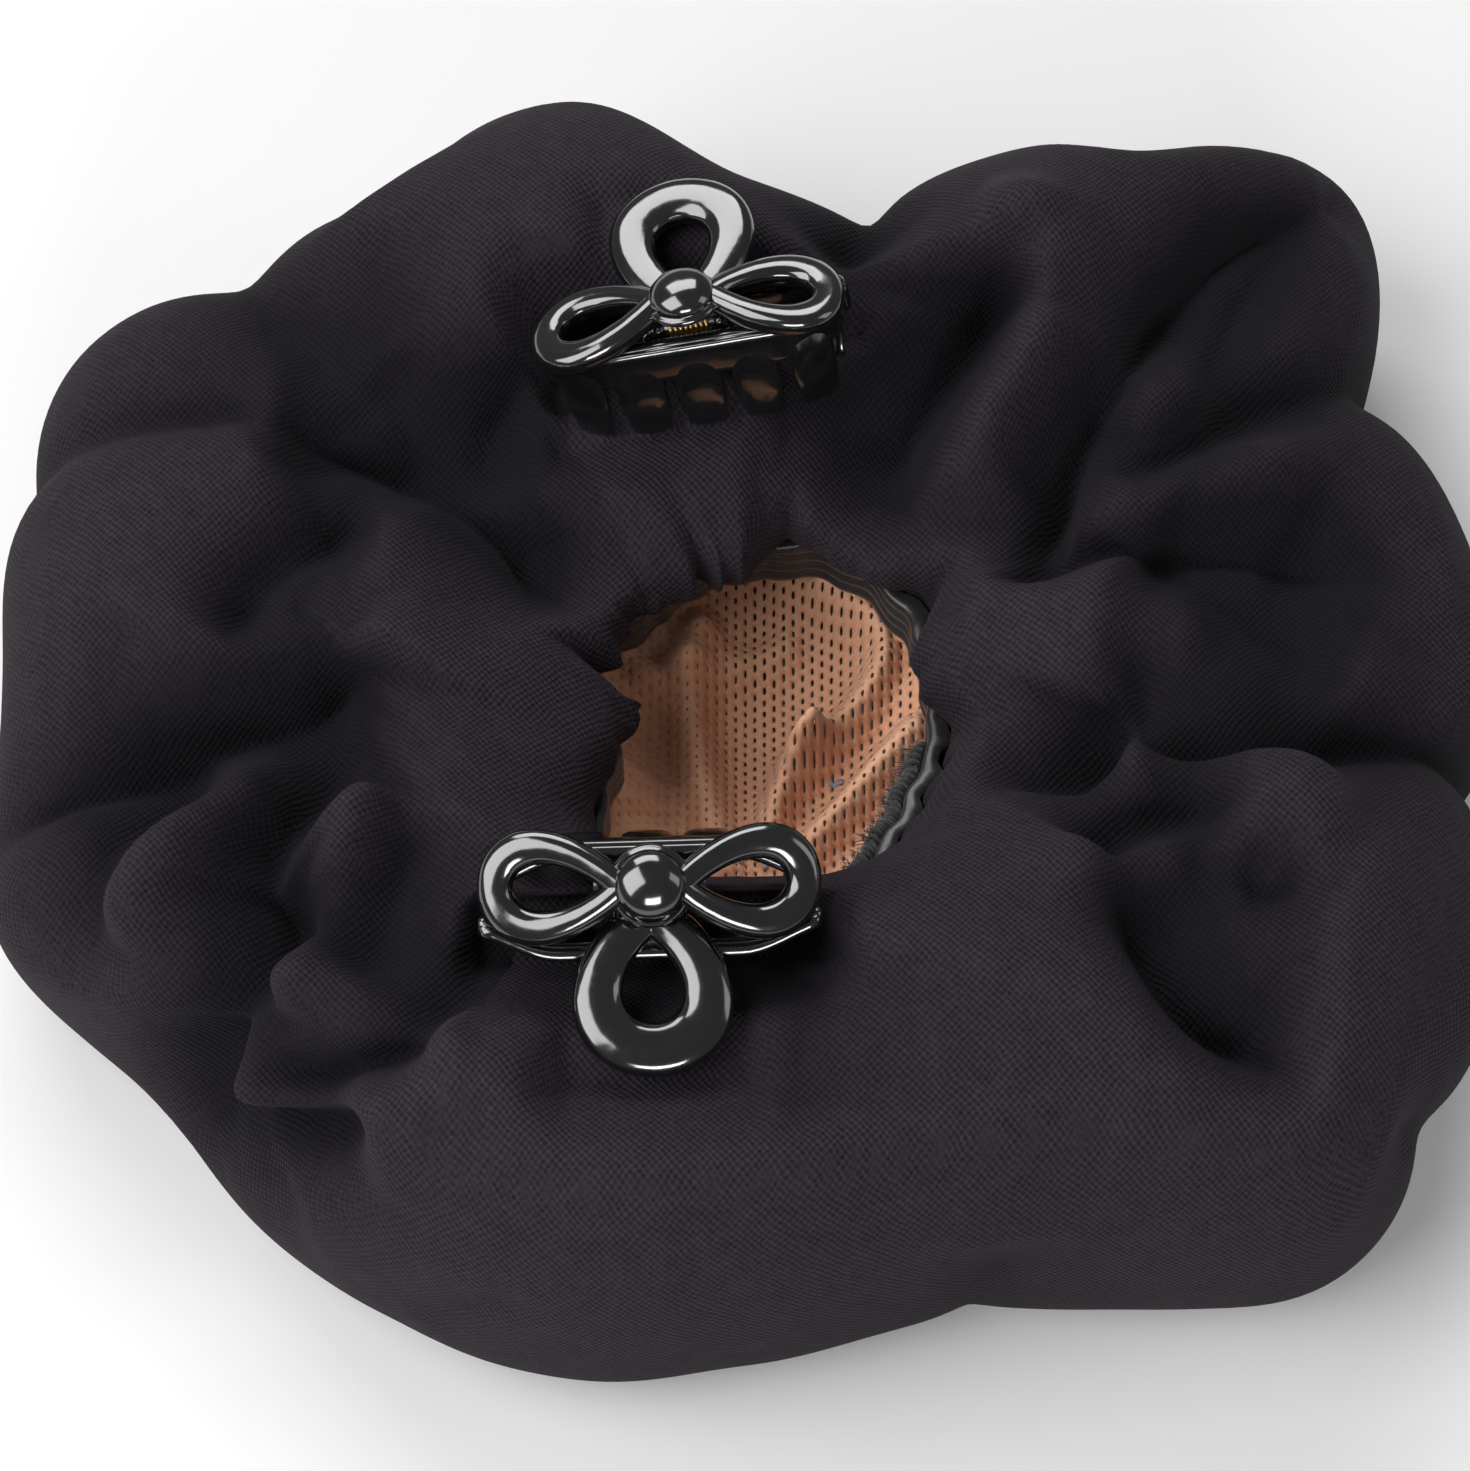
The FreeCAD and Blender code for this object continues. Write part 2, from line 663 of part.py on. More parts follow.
def loop_z(x):
    """Height of a drooping loop's middle line."""
    return -abs(x) * math.tan(math.radians(LOOP_DROOP))


def bow_jaw():
    """The jaw with the knot, the two loops and the comb on the hole's side."""
    origin = FreeCAD.Vector(0, 0, 0)
    loop = teardrop(LOOP_APEX, LOOP_REACH / math.cos(math.radians(LOOP_DROOP)), LOOP_BEND, LOOP_TUBE)
    loop.rotate(origin, FreeCAD.Vector(0, 1, 0), LOOP_DROOP)
    dome_radius = (KNOT_RADIUS**2 + KNOT_HEIGHT**2) / (2 * KNOT_HEIGHT)
    dome = Part.makeSphere(dome_radius, FreeCAD.Vector(0, 0, KNOT_LOW + KNOT_HEIGHT - dome_radius))
    dome = dome.common(Part.makeCylinder(KNOT_RADIUS, 10, FreeCAD.Vector(0, 0, KNOT_LOW)))
    pieces = [loop, loop.mirror(origin, FreeCAD.Vector(1, 0, 0))]
    pieces += comb(-BOW_COMB_Y, BOW_COMB_HALF) + ears(BOW_EAR_X)
    for side in (-1, 1):
        ear_x = side * BOW_EAR_X
        pieces.append(rod(FreeCAD.Vector(ear_x, 0, HINGE_Z), FreeCAD.Vector(ear_x, 0, -0.9), EAR_ARM))
        for hang_x in BOW_HANGERS:
            hang_top = FreeCAD.Vector(side * hang_x, -LOOP_BEND, loop_z(hang_x))
            hang_low = FreeCAD.Vector(side * hang_x, -BOW_COMB_Y, SPINE_Z)
            pieces.append(rod(hang_top, hang_low, SPINE_TUBE))
    return dome.fuse(pieces).cut(pin_bore()).Solids[0]


def ring_jaw():
    """The jaw with the ring and the comb on the outer side."""
    origin = FreeCAD.Vector(0, 0, 0)
    ring = teardrop(0, RING_REACH - RING_APEX, RING_BEND, RING_TUBE)
    ring.rotate(origin, FreeCAD.Vector(0, 0, 1), 90)
    ring.rotate(origin, FreeCAD.Vector(1, 0, 0), RING_RISE)
    ring.translate(FreeCAD.Vector(0, RING_APEX, RING_LOW))
    pieces = comb(RING_COMB_Y, RING_COMB_HALF) + ears(RING_EAR_X)
    for side in (-1, 1):
        ear = FreeCAD.Vector(side * RING_EAR_X, 0, HINGE_Z)
        pieces.append(rod(ear, FreeCAD.Vector(side * RING_EAR_X, RING_COMB_Y, SPINE_Z), EAR_ARM))
    pieces.append(rod(FreeCAD.Vector(0, RING_APEX, RING_LOW), FreeCAD.Vector(0, RING_COMB_Y, SPINE_Z), RING_STEM))
    return ring.fuse(pieces).cut(pin_bore()).Solids[0]


def hinge_pin():
    start = FreeCAD.Vector(-PIN_LENGTH / 2, 0, HINGE_Z)
    return Part.makeCylinder(PIN_RADIUS, PIN_LENGTH, start, FreeCAD.Vector(1, 0, 0))


def spring():
    """The coil round the pin, as the sleeve that it fills."""
    start = FreeCAD.Vector(-SPRING_LENGTH / 2, 0, HINGE_Z)
    sleeve = Part.makeCylinder(SPRING_RADIUS, SPRING_LENGTH, start, FreeCAD.Vector(1, 0, 0))
    return sleeve.cut(pin_bore())


def placed(shape, clip):
    x, y, z = clip_axes(clip)
    matrix = FreeCAD.Matrix(
        x.x, y.x, z.x, clip.x,
        x.y, y.y, z.y, clip.y,
        x.z, y.z, z.z, clip.z,
        0, 0, 0, 1,
    )
    moved = shape.copy()
    moved.Placement = FreeCAD.Placement(matrix)
    return moved


def build():
    nodes = {
        "ruffle": ruffle(),
        "elastic_band": elastic_band(),
        "overlock_seam": overlock_seam(),
        "mesh_pouch": mesh_pouch(),
    }
    makers = {"bow_jaw": bow_jaw, "ring_jaw": ring_jaw, "hinge_pin": hinge_pin, "spring": spring}
    for piece, make in makers.items():
        shape = make()
        for clip in CLIPS:
            nodes[f"{clip.name}_{piece}"] = placed(shape, clip)
    return nodes


os.makedirs("parts", exist_ok=True)
for name, shape in build().items():
    shape.translate(FreeCAD.Vector(MIDDLE_X, MIDDLE_Y, 0))
    shape.exportStep(f"parts/{name}.step")
    box = shape.BoundBox
    print(f"{name:18s} {len(shape.Faces):5d} faces {shape.Volume / 1000:8.3f} cm3 valid {shape.isValid()}"
          f" x {box.XMin:.1f}..{box.XMax:.1f} y {box.YMin:.1f}..{box.YMax:.1f} z {box.ZMin:.2f}..{box.ZMax:.1f}")
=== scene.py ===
"""The looks of the ruffled bun holder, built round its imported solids."""

import math
from collections import namedtuple

import bmesh
import bpy
import numpy as np
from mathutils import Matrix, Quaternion, Vector


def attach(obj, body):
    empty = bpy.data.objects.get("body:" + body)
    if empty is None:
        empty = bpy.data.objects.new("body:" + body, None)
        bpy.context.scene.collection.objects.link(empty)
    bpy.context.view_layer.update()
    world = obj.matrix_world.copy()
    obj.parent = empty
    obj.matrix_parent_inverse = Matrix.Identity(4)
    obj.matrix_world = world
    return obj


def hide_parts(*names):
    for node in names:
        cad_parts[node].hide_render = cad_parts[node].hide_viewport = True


# Tables and sizes are in millimetres and degrees, unless a comment says metres. A place on the
# cloth tube is given by its angle round the ring, from +X towards +Y, and its turn round the
# tube: 0 at the outer edge, 90 at the crown, 180 at the hole and 270 beneath.
MM = 0.001
MIDDLE = np.array((-1.1, -5.3, 0.0))
CENTRE_X = 1.0
CENTRE_Y = 3.0
FOOT_SINK = 0.6

Section = namedtuple("Section", "angle inner outer crown waist")
SECTIONS = [Section(*row) for row in (
    (0, 18, 70, 36, 15),
    (15, 18, 71, 37, 15),
    (30, 19, 73, 38, 15),
    (45, 20, 84, 40, 16),
    (60, 21, 71, 40, 16),
    (75, 21, 61, 38, 16),
    (90, 22, 57, 40, 16),
    (105, 21, 69, 40, 16),
    (120, 19, 69, 40, 16),
    (135, 17, 71, 38, 16),
    (150, 17, 76, 38, 15),
    (165, 16, 72, 36, 15),
    (180, 15, 69, 36, 15),
    (195, 15, 71, 36, 15),
    (210, 17, 65, 37, 15),
    (225, 19, 65, 38, 15),
    (240, 20, 64, 40, 16),
    (255, 21, 63, 41, 16),
    (270, 21, 60, 41, 16),
    (285, 21, 59, 40, 16),
    (300, 20, 63, 40, 16),
    (315, 19, 74, 39, 16),
    (330, 18, 74, 38, 16),
    (345, 18, 70, 37, 15),
)]
TOP_POWER = 2.15
FOOT_POWER = 3.2

# A fold runs over three places on the tube. right and left are its half widths on the two
# sides of that run, depth is how far it sinks (a ridge has a depth below 0), and lean is how
# far its steeper side hangs over.
Fold = namedtuple(
    "Fold", "name angle_a turn_a angle_b turn_b angle_c turn_c right left depth lean"
)
FOLDS = [Fold(*row) for row in (
    ("rear_notch", 79, -60, 79, 20, 76, 100, 5, 5, 6, 0),
    ("back_right", 60, -60, 56, -10, 60, 50, 6, 6, 3.5, 0),
    ("back_middle", 96, -60, 98, -10, 102, 45, 6, 6, 3.5, 0),
    ("back_left", 118, -50, 122, 0, 124, 50, 6, 6, 4, 0),
    ("rear_left_outer", 133, 0, 139, 50, 142, 96, 7, 7, 4, 0),
    ("rear_left_arc", 138, 88, 141, 103, 147, 124, 3.5, 3.5, 3, 0),
    ("rear_left_long", 153, 84, 148, 118, 155, 150, 4, 5, 8, 1),
    ("roll_left", 118, 120, 130, 113, 142, 128, 3.5, 4.5, 5, 0),
    ("left_upper_edge", 164, -20, 159, 40, 152, 86, 2, 5, 3, 0),
    ("left_crescent", 160, 110, 167, 92, 179, 79, 3.5, 3, 5, 0),
    ("left_step", 171, 92, 174, 100, 179, 107, 1.5, 4, 2, 0),
    ("left_deep", 180, 108, 187, 80, 190, 0, 3.5, 6, 9, 1.5),
    ("left_crease", 189, 76, 197, 50, 206, 10, 3.5, 4.5, 5, 0.5),
    ("left_big", 192, 110, 202, 83, 216, 52, 4.5, 6, 8, 1),
    ("left_notch", 208, 76, 215, 50, 216, -30, 3, 5, 11, 0),
    ("left_soft", 212, 112, 221, 92, 224, 74, 5, 5, 2.5, 0),
    ("clip_side", 240, 98, 234, 88, 238, 74, 4, 4, 5, 0),
    ("front_left_crescent", 238, 76, 231, 54, 223, 33, 2, 4.5, 5, 0),
    ("front_left_lip", 220, 26, 229, 38, 235, 58, 2.5, 2.5, -4, 0),
    ("front_left_under", 214, 26, 224, 14, 236, 56, 4, 4.5, 6, 0),
    ("front_ridge", 240, 82, 238, 60, 236, 30, 4, 4, -2.5, 0),
    ("front_notch", 288, -60, 290, -20, 292, 20, 6, 6, 2.5, 0),
    ("front_soft", 282, 112, 277, 88, 276, 56, 8, 8, 2.5, 0),
    ("right_wide", 61, 88, 56, 121, 63, 158, 7, 4, 9, 0),
    ("right_hook", 64, 82, 52, 98, 47, 150, 3.5, 3.5, -3.5, 0),
    ("right_small", 56, 84, 52, 94, 48, 105, 2.5, 2.5, 2, 0),
    ("right_patch", 42, 30, 43, 74, 36, 104, 4, 6, 6, 1),
    ("right_band", 34, 104, 33, 80, 31, 40, 4, 4, -2, 0),
    ("right_long", 38, 98, 34, 122, 24, 142, 3, 3.5, 6, 0.8),
    ("right_notch", 31, -30, 28, 50, 27, 108, 4, 4, 5, 0),
    ("right_ridge", 25, 124, 21, 100, 26, 50, 4, 4, -2, 0),
    ("right_valley", 23, 138, 15, 102, 9, 36, 3.5, 6, 7, 0.8),
    ("right_bulge", 20, 145, 12, 114, 4, 92, 7, 7, -2.5, 0),
    ("right_dent", -1, 120, -8, 112, -20, 138, 5, 5, 4, 0),
    ("right_side", 12, 80, 5, 60, 0, 30, 8, 8, 2.5, 0),
    ("right_thin", -4, -40, -8, 60, -14, 112, 3, 4, 6.5, 0.8),
    ("eye_upper", -13, 112, -19, 128, -26, 146, 3, 3, 4, 0),
    ("eye_valley", -38, 114, -27, 105, -21, 86, 6, 4, 4.5, 0),
    ("eye_ridge", -24, 122, -14, 88, -25, 70, 4, 4, -2, 0),
    ("eye_crease", -25, 84, -29, 79, -25, 73, 2, 2, 2.5, 0),
    ("front_right_deep", -37, 106, -45, 78, -42, 50, 2, 9, 7, 1),
    ("front_right_low", -28, -50, -32, -10, -40, 30, 7, 7, 3.5, 0),
    ("rear_roll", 130, 152, 105, 160, 84, 154, 9, 9, -4, 0),
    ("left_rim", 206, 170, 190, 176, 172, 174, 9, 9, -2, 0),
    ("left_ridge_low", 202, 106, 213, 82, 221, 52, 4, 4, -4.5, 0),
    ("left_ridge_high", 193, 94, 200, 66, 207, 30, 3.2, 3.2, -3.5, 0),
    # Creases and hollows that only the scene's cloth has.
    ("rear_seam", 84, 118, 82, 132, 80, 148, 0.6, 0.6, 0.7, 0),
    ("front_left_crease", 244, -4, 248, 6, 253, 16, 1.5, 1.5, 0.9, 0),
    ("right_ridge_line", -48, 117, -36, 101, -30, 92, 2.5, 2.5, -1.2, 0),
    ("rear_right_ripple", 48, 60, 44, 78, 40, 92, 3, 3, 1.2, 0),
    ("left_ripple", 176, 60, 181, 52, 185, 44, 2.5, 3, 1.4, 0),
    ("rear_left_ripple", 128, 60, 132, 74, 133, 92, 4, 4, 1.2, 0),
    ("right_hump_hollow", 45, 12, 38, 52, 31, 84, 5, 6, 4.5, 0),
    ("right_mid_hollow", 15, 108, 7, 93, -3, 64, 5, 5, 4.5, 0),
    ("left_arc", 159, 88, 152, 100, 150, 118, 3, 5, 4, 0),
    ("flap_hollow", 221, 14, 229, 26, 236, 46, 2.5, 3, 3, 0),
    ("lobe_hollow", 212, 14, 223, 4, 233, 8, 5, 5, 2, 0),
)]
FOLD_STEPS = 14
FOLD_ROUNDING = 0.4
FOLD_FADE = 0.22
FOLD_GAIN = 0.8
# How deep a fold must sink for its painted shade to be full, and how much of the cloth's colour that
# painted shade takes away.
PAINTED_SHADE_FULL_DEPTH = 6.5
PAINTED_SHADE_STRENGTH = 0.8
DEEPEST_FOLD = 15.0
GATHERS = 24
FINE_GATHERS = 61
GATHER_DEPTH = 1.0
FINE_GATHER_DEPTH = 0.35
GATHER_FROM = 150
GATHER_TO = 285
GATHER_RISE = 25
GATHER_FALL = 45
CLOTH_ANGLES = 440
CLOTH_TURNS = 216
RING_ANGLES = np.arange(CLOTH_ANGLES) * 360 / CLOTH_ANGLES
TUBE_TURNS = np.arange(CLOTH_TURNS) * 360 / CLOTH_TURNS
FOLD_ROUNDS = 1
LIP_ROUNDS = 2
EVEN_SHARE = 0.5

# The turns between which the folds are deepened, and how softly that starts and ends.
GAIN_FROM = 30
GAIN_RISE = 40
GAIN_TO = 200
GAIN_FALL = 20

# Where the cloth rolls in over the elastic: the middle and half width of that part of the ring,
# and how far it reaches. The elastic shows between the last two.
Lip = namedtuple("Lip", "name angle half_angle reach")
LIPS = [Lip(*row) for row in (
    ("rear_left", 132, 38, 5.5),
    ("rear", 96, 30, 7.0),
    ("rear_right", 60, 30, 5.5),
    ("left_rear", 155, 22, 6.0),
    ("left", 194, 40, 5.5),
    ("right", 10, 24, 4.0),
    ("front", 262, 40, 2.0),
)]
LIP_LOW = 19.4
LIP_RISE = 2.6
LIP_TOP = 34.0
LIP_FADE = 9.0
LIP_FROM = 112
LIP_FROM_RISE = 25
LIP_TO = 205
LIP_TO_FALL = 15

HOLE_FROM = 140
HOLE_TO = 260
HOLE_MARGIN = 0.8
BAND_LOW = 12.5
BAND_HIGH = 18.5
BAND_THICK = 1.0
BAND_GAP = 0.2
BAND_EVEN_REACH = 4
BAND_RIBS = 4
BAND_RIB_STEPS = 8
BAND_RIB_HEIGHT = 0.35
BAND_RIB_POWER = 0.7
SEAM_FROM = -62
SEAM_TO = -4
SEAM_MIDDLE_Z = 14.8
SEAM_HALF_HEIGHT = 2.5
SEAM_DEPTH = 0.85
SEAM_LOOPS = 64
SEAM_HAIRS = 520
NET_RIM_Z = 11.5
NET_LOW_Z = 2.1
NET_BOWL_POWER = 2.6
NET_THREAD = 0.26
NET_CELL_X = 0.92
NET_CELL_Y = 1.0
NET_HOLE_X = 0.32
NET_HOLE_Y = 0.58
NET_CORNER_X = 0.72
NET_CORNER_Y = 0.78
NET_SMALLEST_HOLE = 0.35
NET_REACH = 26
NET_RIM_GAP = 0.35
NET_MERGE = 0.03
NET_FOLD_STEPS = 12
NET_FOLD_TAPER = 0.4
FLECK_SPOTS = ((3.2, -6.5), (9.6, 4.2), (7.8, 6.2), (1.0, -4.0), (-6.0, 3.0), (6.0, -9.0))
FLECKS_PER_SPOT = 5
FLECK_SPREAD = 0.45
FLECK_RADIUS = 0.26
FLECK_HALF_THICK = 0.05
FLECK_SIDES = 7
FLECK_NET_RADIUS = 18

NetFold = namedtuple("NetFold", "name x_a y_a x_b y_b x_c y_c width height")
NET_FOLDS = [NetFold(*row) for row in (
    ("left_ridge", -3.2, 18, -4.2, 11, -1, -6, 1.9, 5.5),
    ("right_ridge", 8.5, 22, 14.2, 14.2, 6, 5.5, 1.7, 9.0),
    ("right_ridge_low", 7.2, 6.2, 4, 1.5, 3.4, -3, 1.5, 6.0),
    ("front_ridge", 17, 6, 11, 0, 6.5, -4.5, 1.8, 8.0),
    ("left_swell", -13, 8, -11, 0, -8, -8, 4.0, 3.0),
    ("rear_ridge", -9, 13, -2, 15, 5, 17, 1.8, 3.0),
)]

# Where each clip sits: the middle of its knot, its lean from upright towards the outside of
# the ring, its roll about its own y, its turn about its own z, and the side of the ring it is
# on (1 rear, -1 front).
Clip = namedtuple("Clip", "name x y z lean roll spin side")
CLIPS = [Clip(*row) for row in (
    ("front", -7.0, -28.0, 43.5, 33, -2.5, 1.5, -1),
    ("rear", -4.8, 32.3, 43.5, 12.5, -10.5, 2.5, 1),
)]
HINGE_Z = -3.6
RIDGE_HALF = 1.6
RIDGE_TOP = -6.4
GROOVE_HALF = 7.5
GROOVE_LOW = -14.2
GROOVE_END = 14.7
GROOVE_SLOPE = 4.0
GROOVE_REACH = 22
GROOVE_FULL = 0.5
GROOVE_SPREADS = 6
GROOVE_SPREAD_SHARE = 0.9
GROOVE_ROUNDS = 12
GROOVE_EVEN_SHARE = 0.6
RING_APEX = 3.4
RING_LOW = -3.4
RING_RISE = 15.0
RING_REACH = 16.5
RING_TUBE = 1.3
RING_SIDE = 7.6
RING_GAP = 0.3
RING_SLOPE = 1.6

CAMERA_ELEVATION = 60.0
CAMERA_DISTANCE = 380.0
CAMERA_TARGET_Z = 20.0
CAMERA_LENS = 102.1
CAMERA_SENSOR = 36

# The camera's nearest distance, the lights, the floor and the weave are in metres.
CAMERA_NEAR = 0.01
Light = namedtuple("Light", "name place size power")
LIGHTS = [Light(*row) for row in (
    ("left_box", (-0.36, -0.16, 0.44), (0.48, 0.52), 4.3),
    ("rear_box", (-0.10, 0.42, 0.50), (0.60, 0.34), 3.8),
    ("front_box", (0.08, -0.60, 0.28), (0.34, 0.16), 2.6),
    ("right_box", (0.58, -0.06, 0.34), (0.22, 0.40), 0.5),
)]
LIGHT_TARGET = Vector((0, 0, 0.02))
WORLD_STRENGTH = 0.16
FLOOR_SIZE = 6
FLOOR_GREY = 0.58
WEAVE_PITCH = 0.00048


# Camera, light and floor

def add_object(name, data):
    thing = bpy.data.objects.new(name, data)
    bpy.context.scene.collection.objects.link(thing)
    return thing


def add_camera():
    data = bpy.data.cameras.new("camera")
    data.lens = CAMERA_LENS
    data.sensor_width = CAMERA_SENSOR
    data.sensor_fit = "HORIZONTAL"
    data.clip_start = CAMERA_NEAR
    camera = add_object("camera", data)
    target = Vector((MIDDLE[0], MIDDLE[1], CAMERA_TARGET_Z)) * MM
    rise = math.radians(CAMERA_ELEVATION)
    back = Vector((0, -math.cos(rise), math.sin(rise)))
    camera.location = target + back * CAMERA_DISTANCE * MM
    camera.rotation_euler = (math.pi / 2 - rise, 0, 0)
    bpy.context.scene.camera = camera


def add_light(light):
    data = bpy.data.lights.new(light.name, "AREA")
    data.shape = "RECTANGLE"
    data.size, data.size_y = light.size
    data.energy = light.power
    lamp = add_object(light.name, data)
    lamp.location = light.place
    direction = LIGHT_TARGET - Vector(light.place)
    lamp.rotation_euler = direction.to_track_quat("-Z", "Y").to_euler()


def add_surroundings():
    world = bpy.data.worlds.new("studio")
    bpy.context.scene.world = world
    world.use_nodes = True
    sky = world.node_tree.nodes["Background"]
    sky.inputs["Color"].default_value = (1, 1, 1, 1)
    sky.inputs["Strength"].default_value = WORLD_STRENGTH
    for light in LIGHTS:
        add_light(light)
    bpy.context.scene.view_settings.view_transform = "Standard"
    bpy.ops.mesh.primitive_plane_add(size=FLOOR_SIZE)
    floor = bpy.context.object
    floor.name = "floor"
    material, _, shader = new_material("floor_paint")
    shader.inputs["Base Color"].default_value = (FLOOR_GREY, FLOOR_GREY, FLOOR_GREY, 1)
    shader.inputs["Roughness"].default_value = 0.9
    shader.inputs["Specular IOR Level"].default_value = 0.0
    floor.data.materials.append(material)


# Materials. Bump distances are in metres, and noise scales are per metre.

def new_material(name):
    material = bpy.data.materials.new(name)
    material.use_nodes = True
    tree = material.node_tree
    return material, tree, tree.nodes["Principled BSDF"]


def math_node(tree, operation, a, b=None, c=None):
    node = tree.nodes.new("ShaderNodeMath")
    node.operation = operation
    for socket, value in zip(node.inputs, (a, b, c)):
        if value is None:
            continue
        if isinstance(value, (int, float)):
            socket.default_value = value
        else:
            tree.links.new(value, socket)
    return node.outputs[0]


def object_place(tree):
    node = tree.nodes.new("ShaderNodeTexCoord")
    return node.outputs["Object"]


def noise(tree, place, scale, detail=2.0, roughness=0.5):
    node = tree.nodes.new("ShaderNodeTexNoise")
    node.inputs["Scale"].default_value = scale
    node.inputs["Detail"].default_value = detail
    node.inputs["Roughness"].default_value = roughness
    tree.links.new(place, node.inputs["Vector"])
    return node.outputs["Fac"]


def colour_between(tree, shader, share, dark, light):
    """Gives the shader a colour between two, by a share."""
    node = tree.nodes.new("ShaderNodeMix")
    node.data_type = "RGBA"
    tree.links.new(share, node.inputs["Factor"])
    node.inputs["A"].default_value = (*dark, 1)
    node.inputs["B"].default_value = (*light, 1)
    tree.links.new(node.outputs["Result"], shader.inputs["Base Color"])


def add_bump(tree, shader, height, distance, strength):
    node = tree.nodes.new("ShaderNodeBump")
    node.inputs["Distance"].default_value = distance
    node.inputs["Strength"].default_value = strength
    tree.links.new(height, node.inputs["Height"])
    tree.links.new(node.outputs["Normal"], shader.inputs["Normal"])


def thread_pattern(tree, across, along, pitch):
    """Height of one face of a twill weave, from two directions in metres."""
    turn = 2 * math.pi / pitch
    drift = noise(tree, object_place(tree), 330)
    across = math_node(tree, "MULTIPLY_ADD", drift, pitch * 2.2, across)
    slant = math_node(tree, "ADD", across, along)
    back = math_node(tree, "SUBTRACT", across, along)
    first = math_node(tree, "SINE", math_node(tree, "MULTIPLY", slant, turn * 0.7071))
    second = math_node(tree, "SINE", math_node(tree, "MULTIPLY", back, turn * 0.7071))
    return math_node(tree, "MULTIPLY_ADD", second, 0.75, first)


def weave_height(tree, pitch):
    """The weave on each of the three main planes, blended by which way the cloth faces."""
    place = tree.nodes.new("ShaderNodeSeparateXYZ")
    tree.links.new(object_place(tree), place.inputs[0])
    facing = tree.nodes.new("ShaderNodeSeparateXYZ")
    geometry = tree.nodes.new("ShaderNodeNewGeometry")
    tree.links.new(geometry.outputs["Normal"], facing.inputs[0])
    x, y, z = place.outputs
    planes = ((y, z, 0), (x, z, 1), (x, y, 2))
    total = None
    weights = None
    for across, along, axis in planes:
        size = math_node(tree, "ABSOLUTE", facing.outputs[axis])
        weight = math_node(tree, "POWER", size, 6.0)
        share = math_node(tree, "MULTIPLY", thread_pattern(tree, across, along, pitch), weight)
        total = share if total is None else math_node(tree, "ADD", total, share)
        weights = weight if weights is None else math_node(tree, "ADD", weights, weight)
    return math_node(tree, "DIVIDE", total, weights)


def cloth_material():
    material, tree, shader = new_material("black_crepe")
    place = object_place(tree)
    weave = weave_height(tree, WEAVE_PITCH)
    slub = noise(tree, place, 2600)
    mottle = noise(tree, place, 420, 4.0, 0.6)
    lift = math_node(tree, "MULTIPLY_ADD", weave, 0.17, 0.05)
    lift = math_node(tree, "MULTIPLY_ADD", slub, 0.55, lift)
    lift = math_node(tree, "MULTIPLY_ADD", mottle, 0.35, lift)
    # Painted shade: the cloth's colour is darkened in its folds, by the fold depth stored on the
    # mesh.
    painted_fold_shade = tree.nodes.new("ShaderNodeAttribute")
    painted_fold_shade.attribute_name = "painted_fold_shade"
    lit = math_node(tree, "MULTIPLY_ADD", painted_fold_shade.outputs["Fac"], -PAINTED_SHADE_STRENGTH, 1.0)
    lift = math_node(tree, "MULTIPLY", lift, lit)
    colour_between(tree, shader, lift, (0.0020, 0.0018, 0.0024), (0.031, 0.0245, 0.032))
    shader.inputs["Roughness"].default_value = 0.85
    shader.inputs["Specular IOR Level"].default_value = 0.08
    shader.inputs["Sheen Weight"].default_value = 0.02
    shader.inputs["Sheen Roughness"].default_value = 0.45
    shader.inputs["Sheen Tint"].default_value = (0.85, 0.78, 0.86, 1)
    height = math_node(tree, "MULTIPLY_ADD", slub, 0.8, weave)
    add_bump(tree, shader, height, 0.00008, 0.55)
    return material


def elastic_material():
    material, tree, shader = new_material("ribbed_elastic")
    fine = noise(tree, object_place(tree), 3000)
    colour_between(tree, shader, fine, (0.006, 0.006, 0.007), (0.022, 0.022, 0.024))
    shader.inputs["Roughness"].default_value = 0.36
    shader.inputs["Sheen Weight"].default_value = 0.1
    add_bump(tree, shader, fine, 0.00005, 0.5)
    return material


def thread_material():
    material, tree, shader = new_material("overlock_thread")
    fine = noise(tree, object_place(tree), 2400, 3.0)
    colour_between(tree, shader, fine, (0.004, 0.004, 0.005), (0.022, 0.02, 0.022))
    shader.inputs["Roughness"].default_value = 0.9
    shader.inputs["Sheen Weight"].default_value = 0.2
    add_bump(tree, shader, fine, 0.00008, 0.7)
    return material


def net_material():
    material, tree, shader = new_material("nude_thread")
    place = object_place(tree)
    fine = noise(tree, place, 3200, 3.0)
    broad = noise(tree, place, 160)
    share = math_node(tree, "MULTIPLY_ADD", fine, 0.5, math_node(tree, "MULTIPLY", broad, 0.5))
    colour_between(tree, shader, share, (0.42, 0.195, 0.11), (0.74, 0.41, 0.25))
    shader.inputs["Roughness"].default_value = 0.75
    shader.inputs["Sheen Weight"].default_value = 0.15
    add_bump(tree, shader, fine, 0.00004, 0.6)
    return material


def speck_material():
    material, tree, shader = new_material("grey_speck")
    fine = noise(tree, object_place(tree), 3000)
    colour_between(tree, shader, fine, (0.16, 0.17, 0.21), (0.34, 0.35, 0.40))
    shader.inputs["Roughness"].default_value = 0.8
    return material


def clip_material():
    material, tree, shader = new_material("black_moulded_plastic")
    place = object_place(tree)
    flow = noise(tree, place, 260)
    fine = noise(tree, place, 1800)
    colour_between(tree, shader, flow, (0.0022, 0.0025, 0.0027), (0.0045, 0.005, 0.0052))
    rough = math_node(tree, "MULTIPLY_ADD", fine, 0.08, 0.10)
    tree.links.new(rough, shader.inputs["Roughness"])
    shader.inputs["Specular IOR Level"].default_value = 0.9
    shader.inputs["Coat Weight"].default_value = 0.6
    shader.inputs["Coat Roughness"].default_value = 0.06
    add_bump(tree, shader, flow, 0.00035, 0.35)
    return material


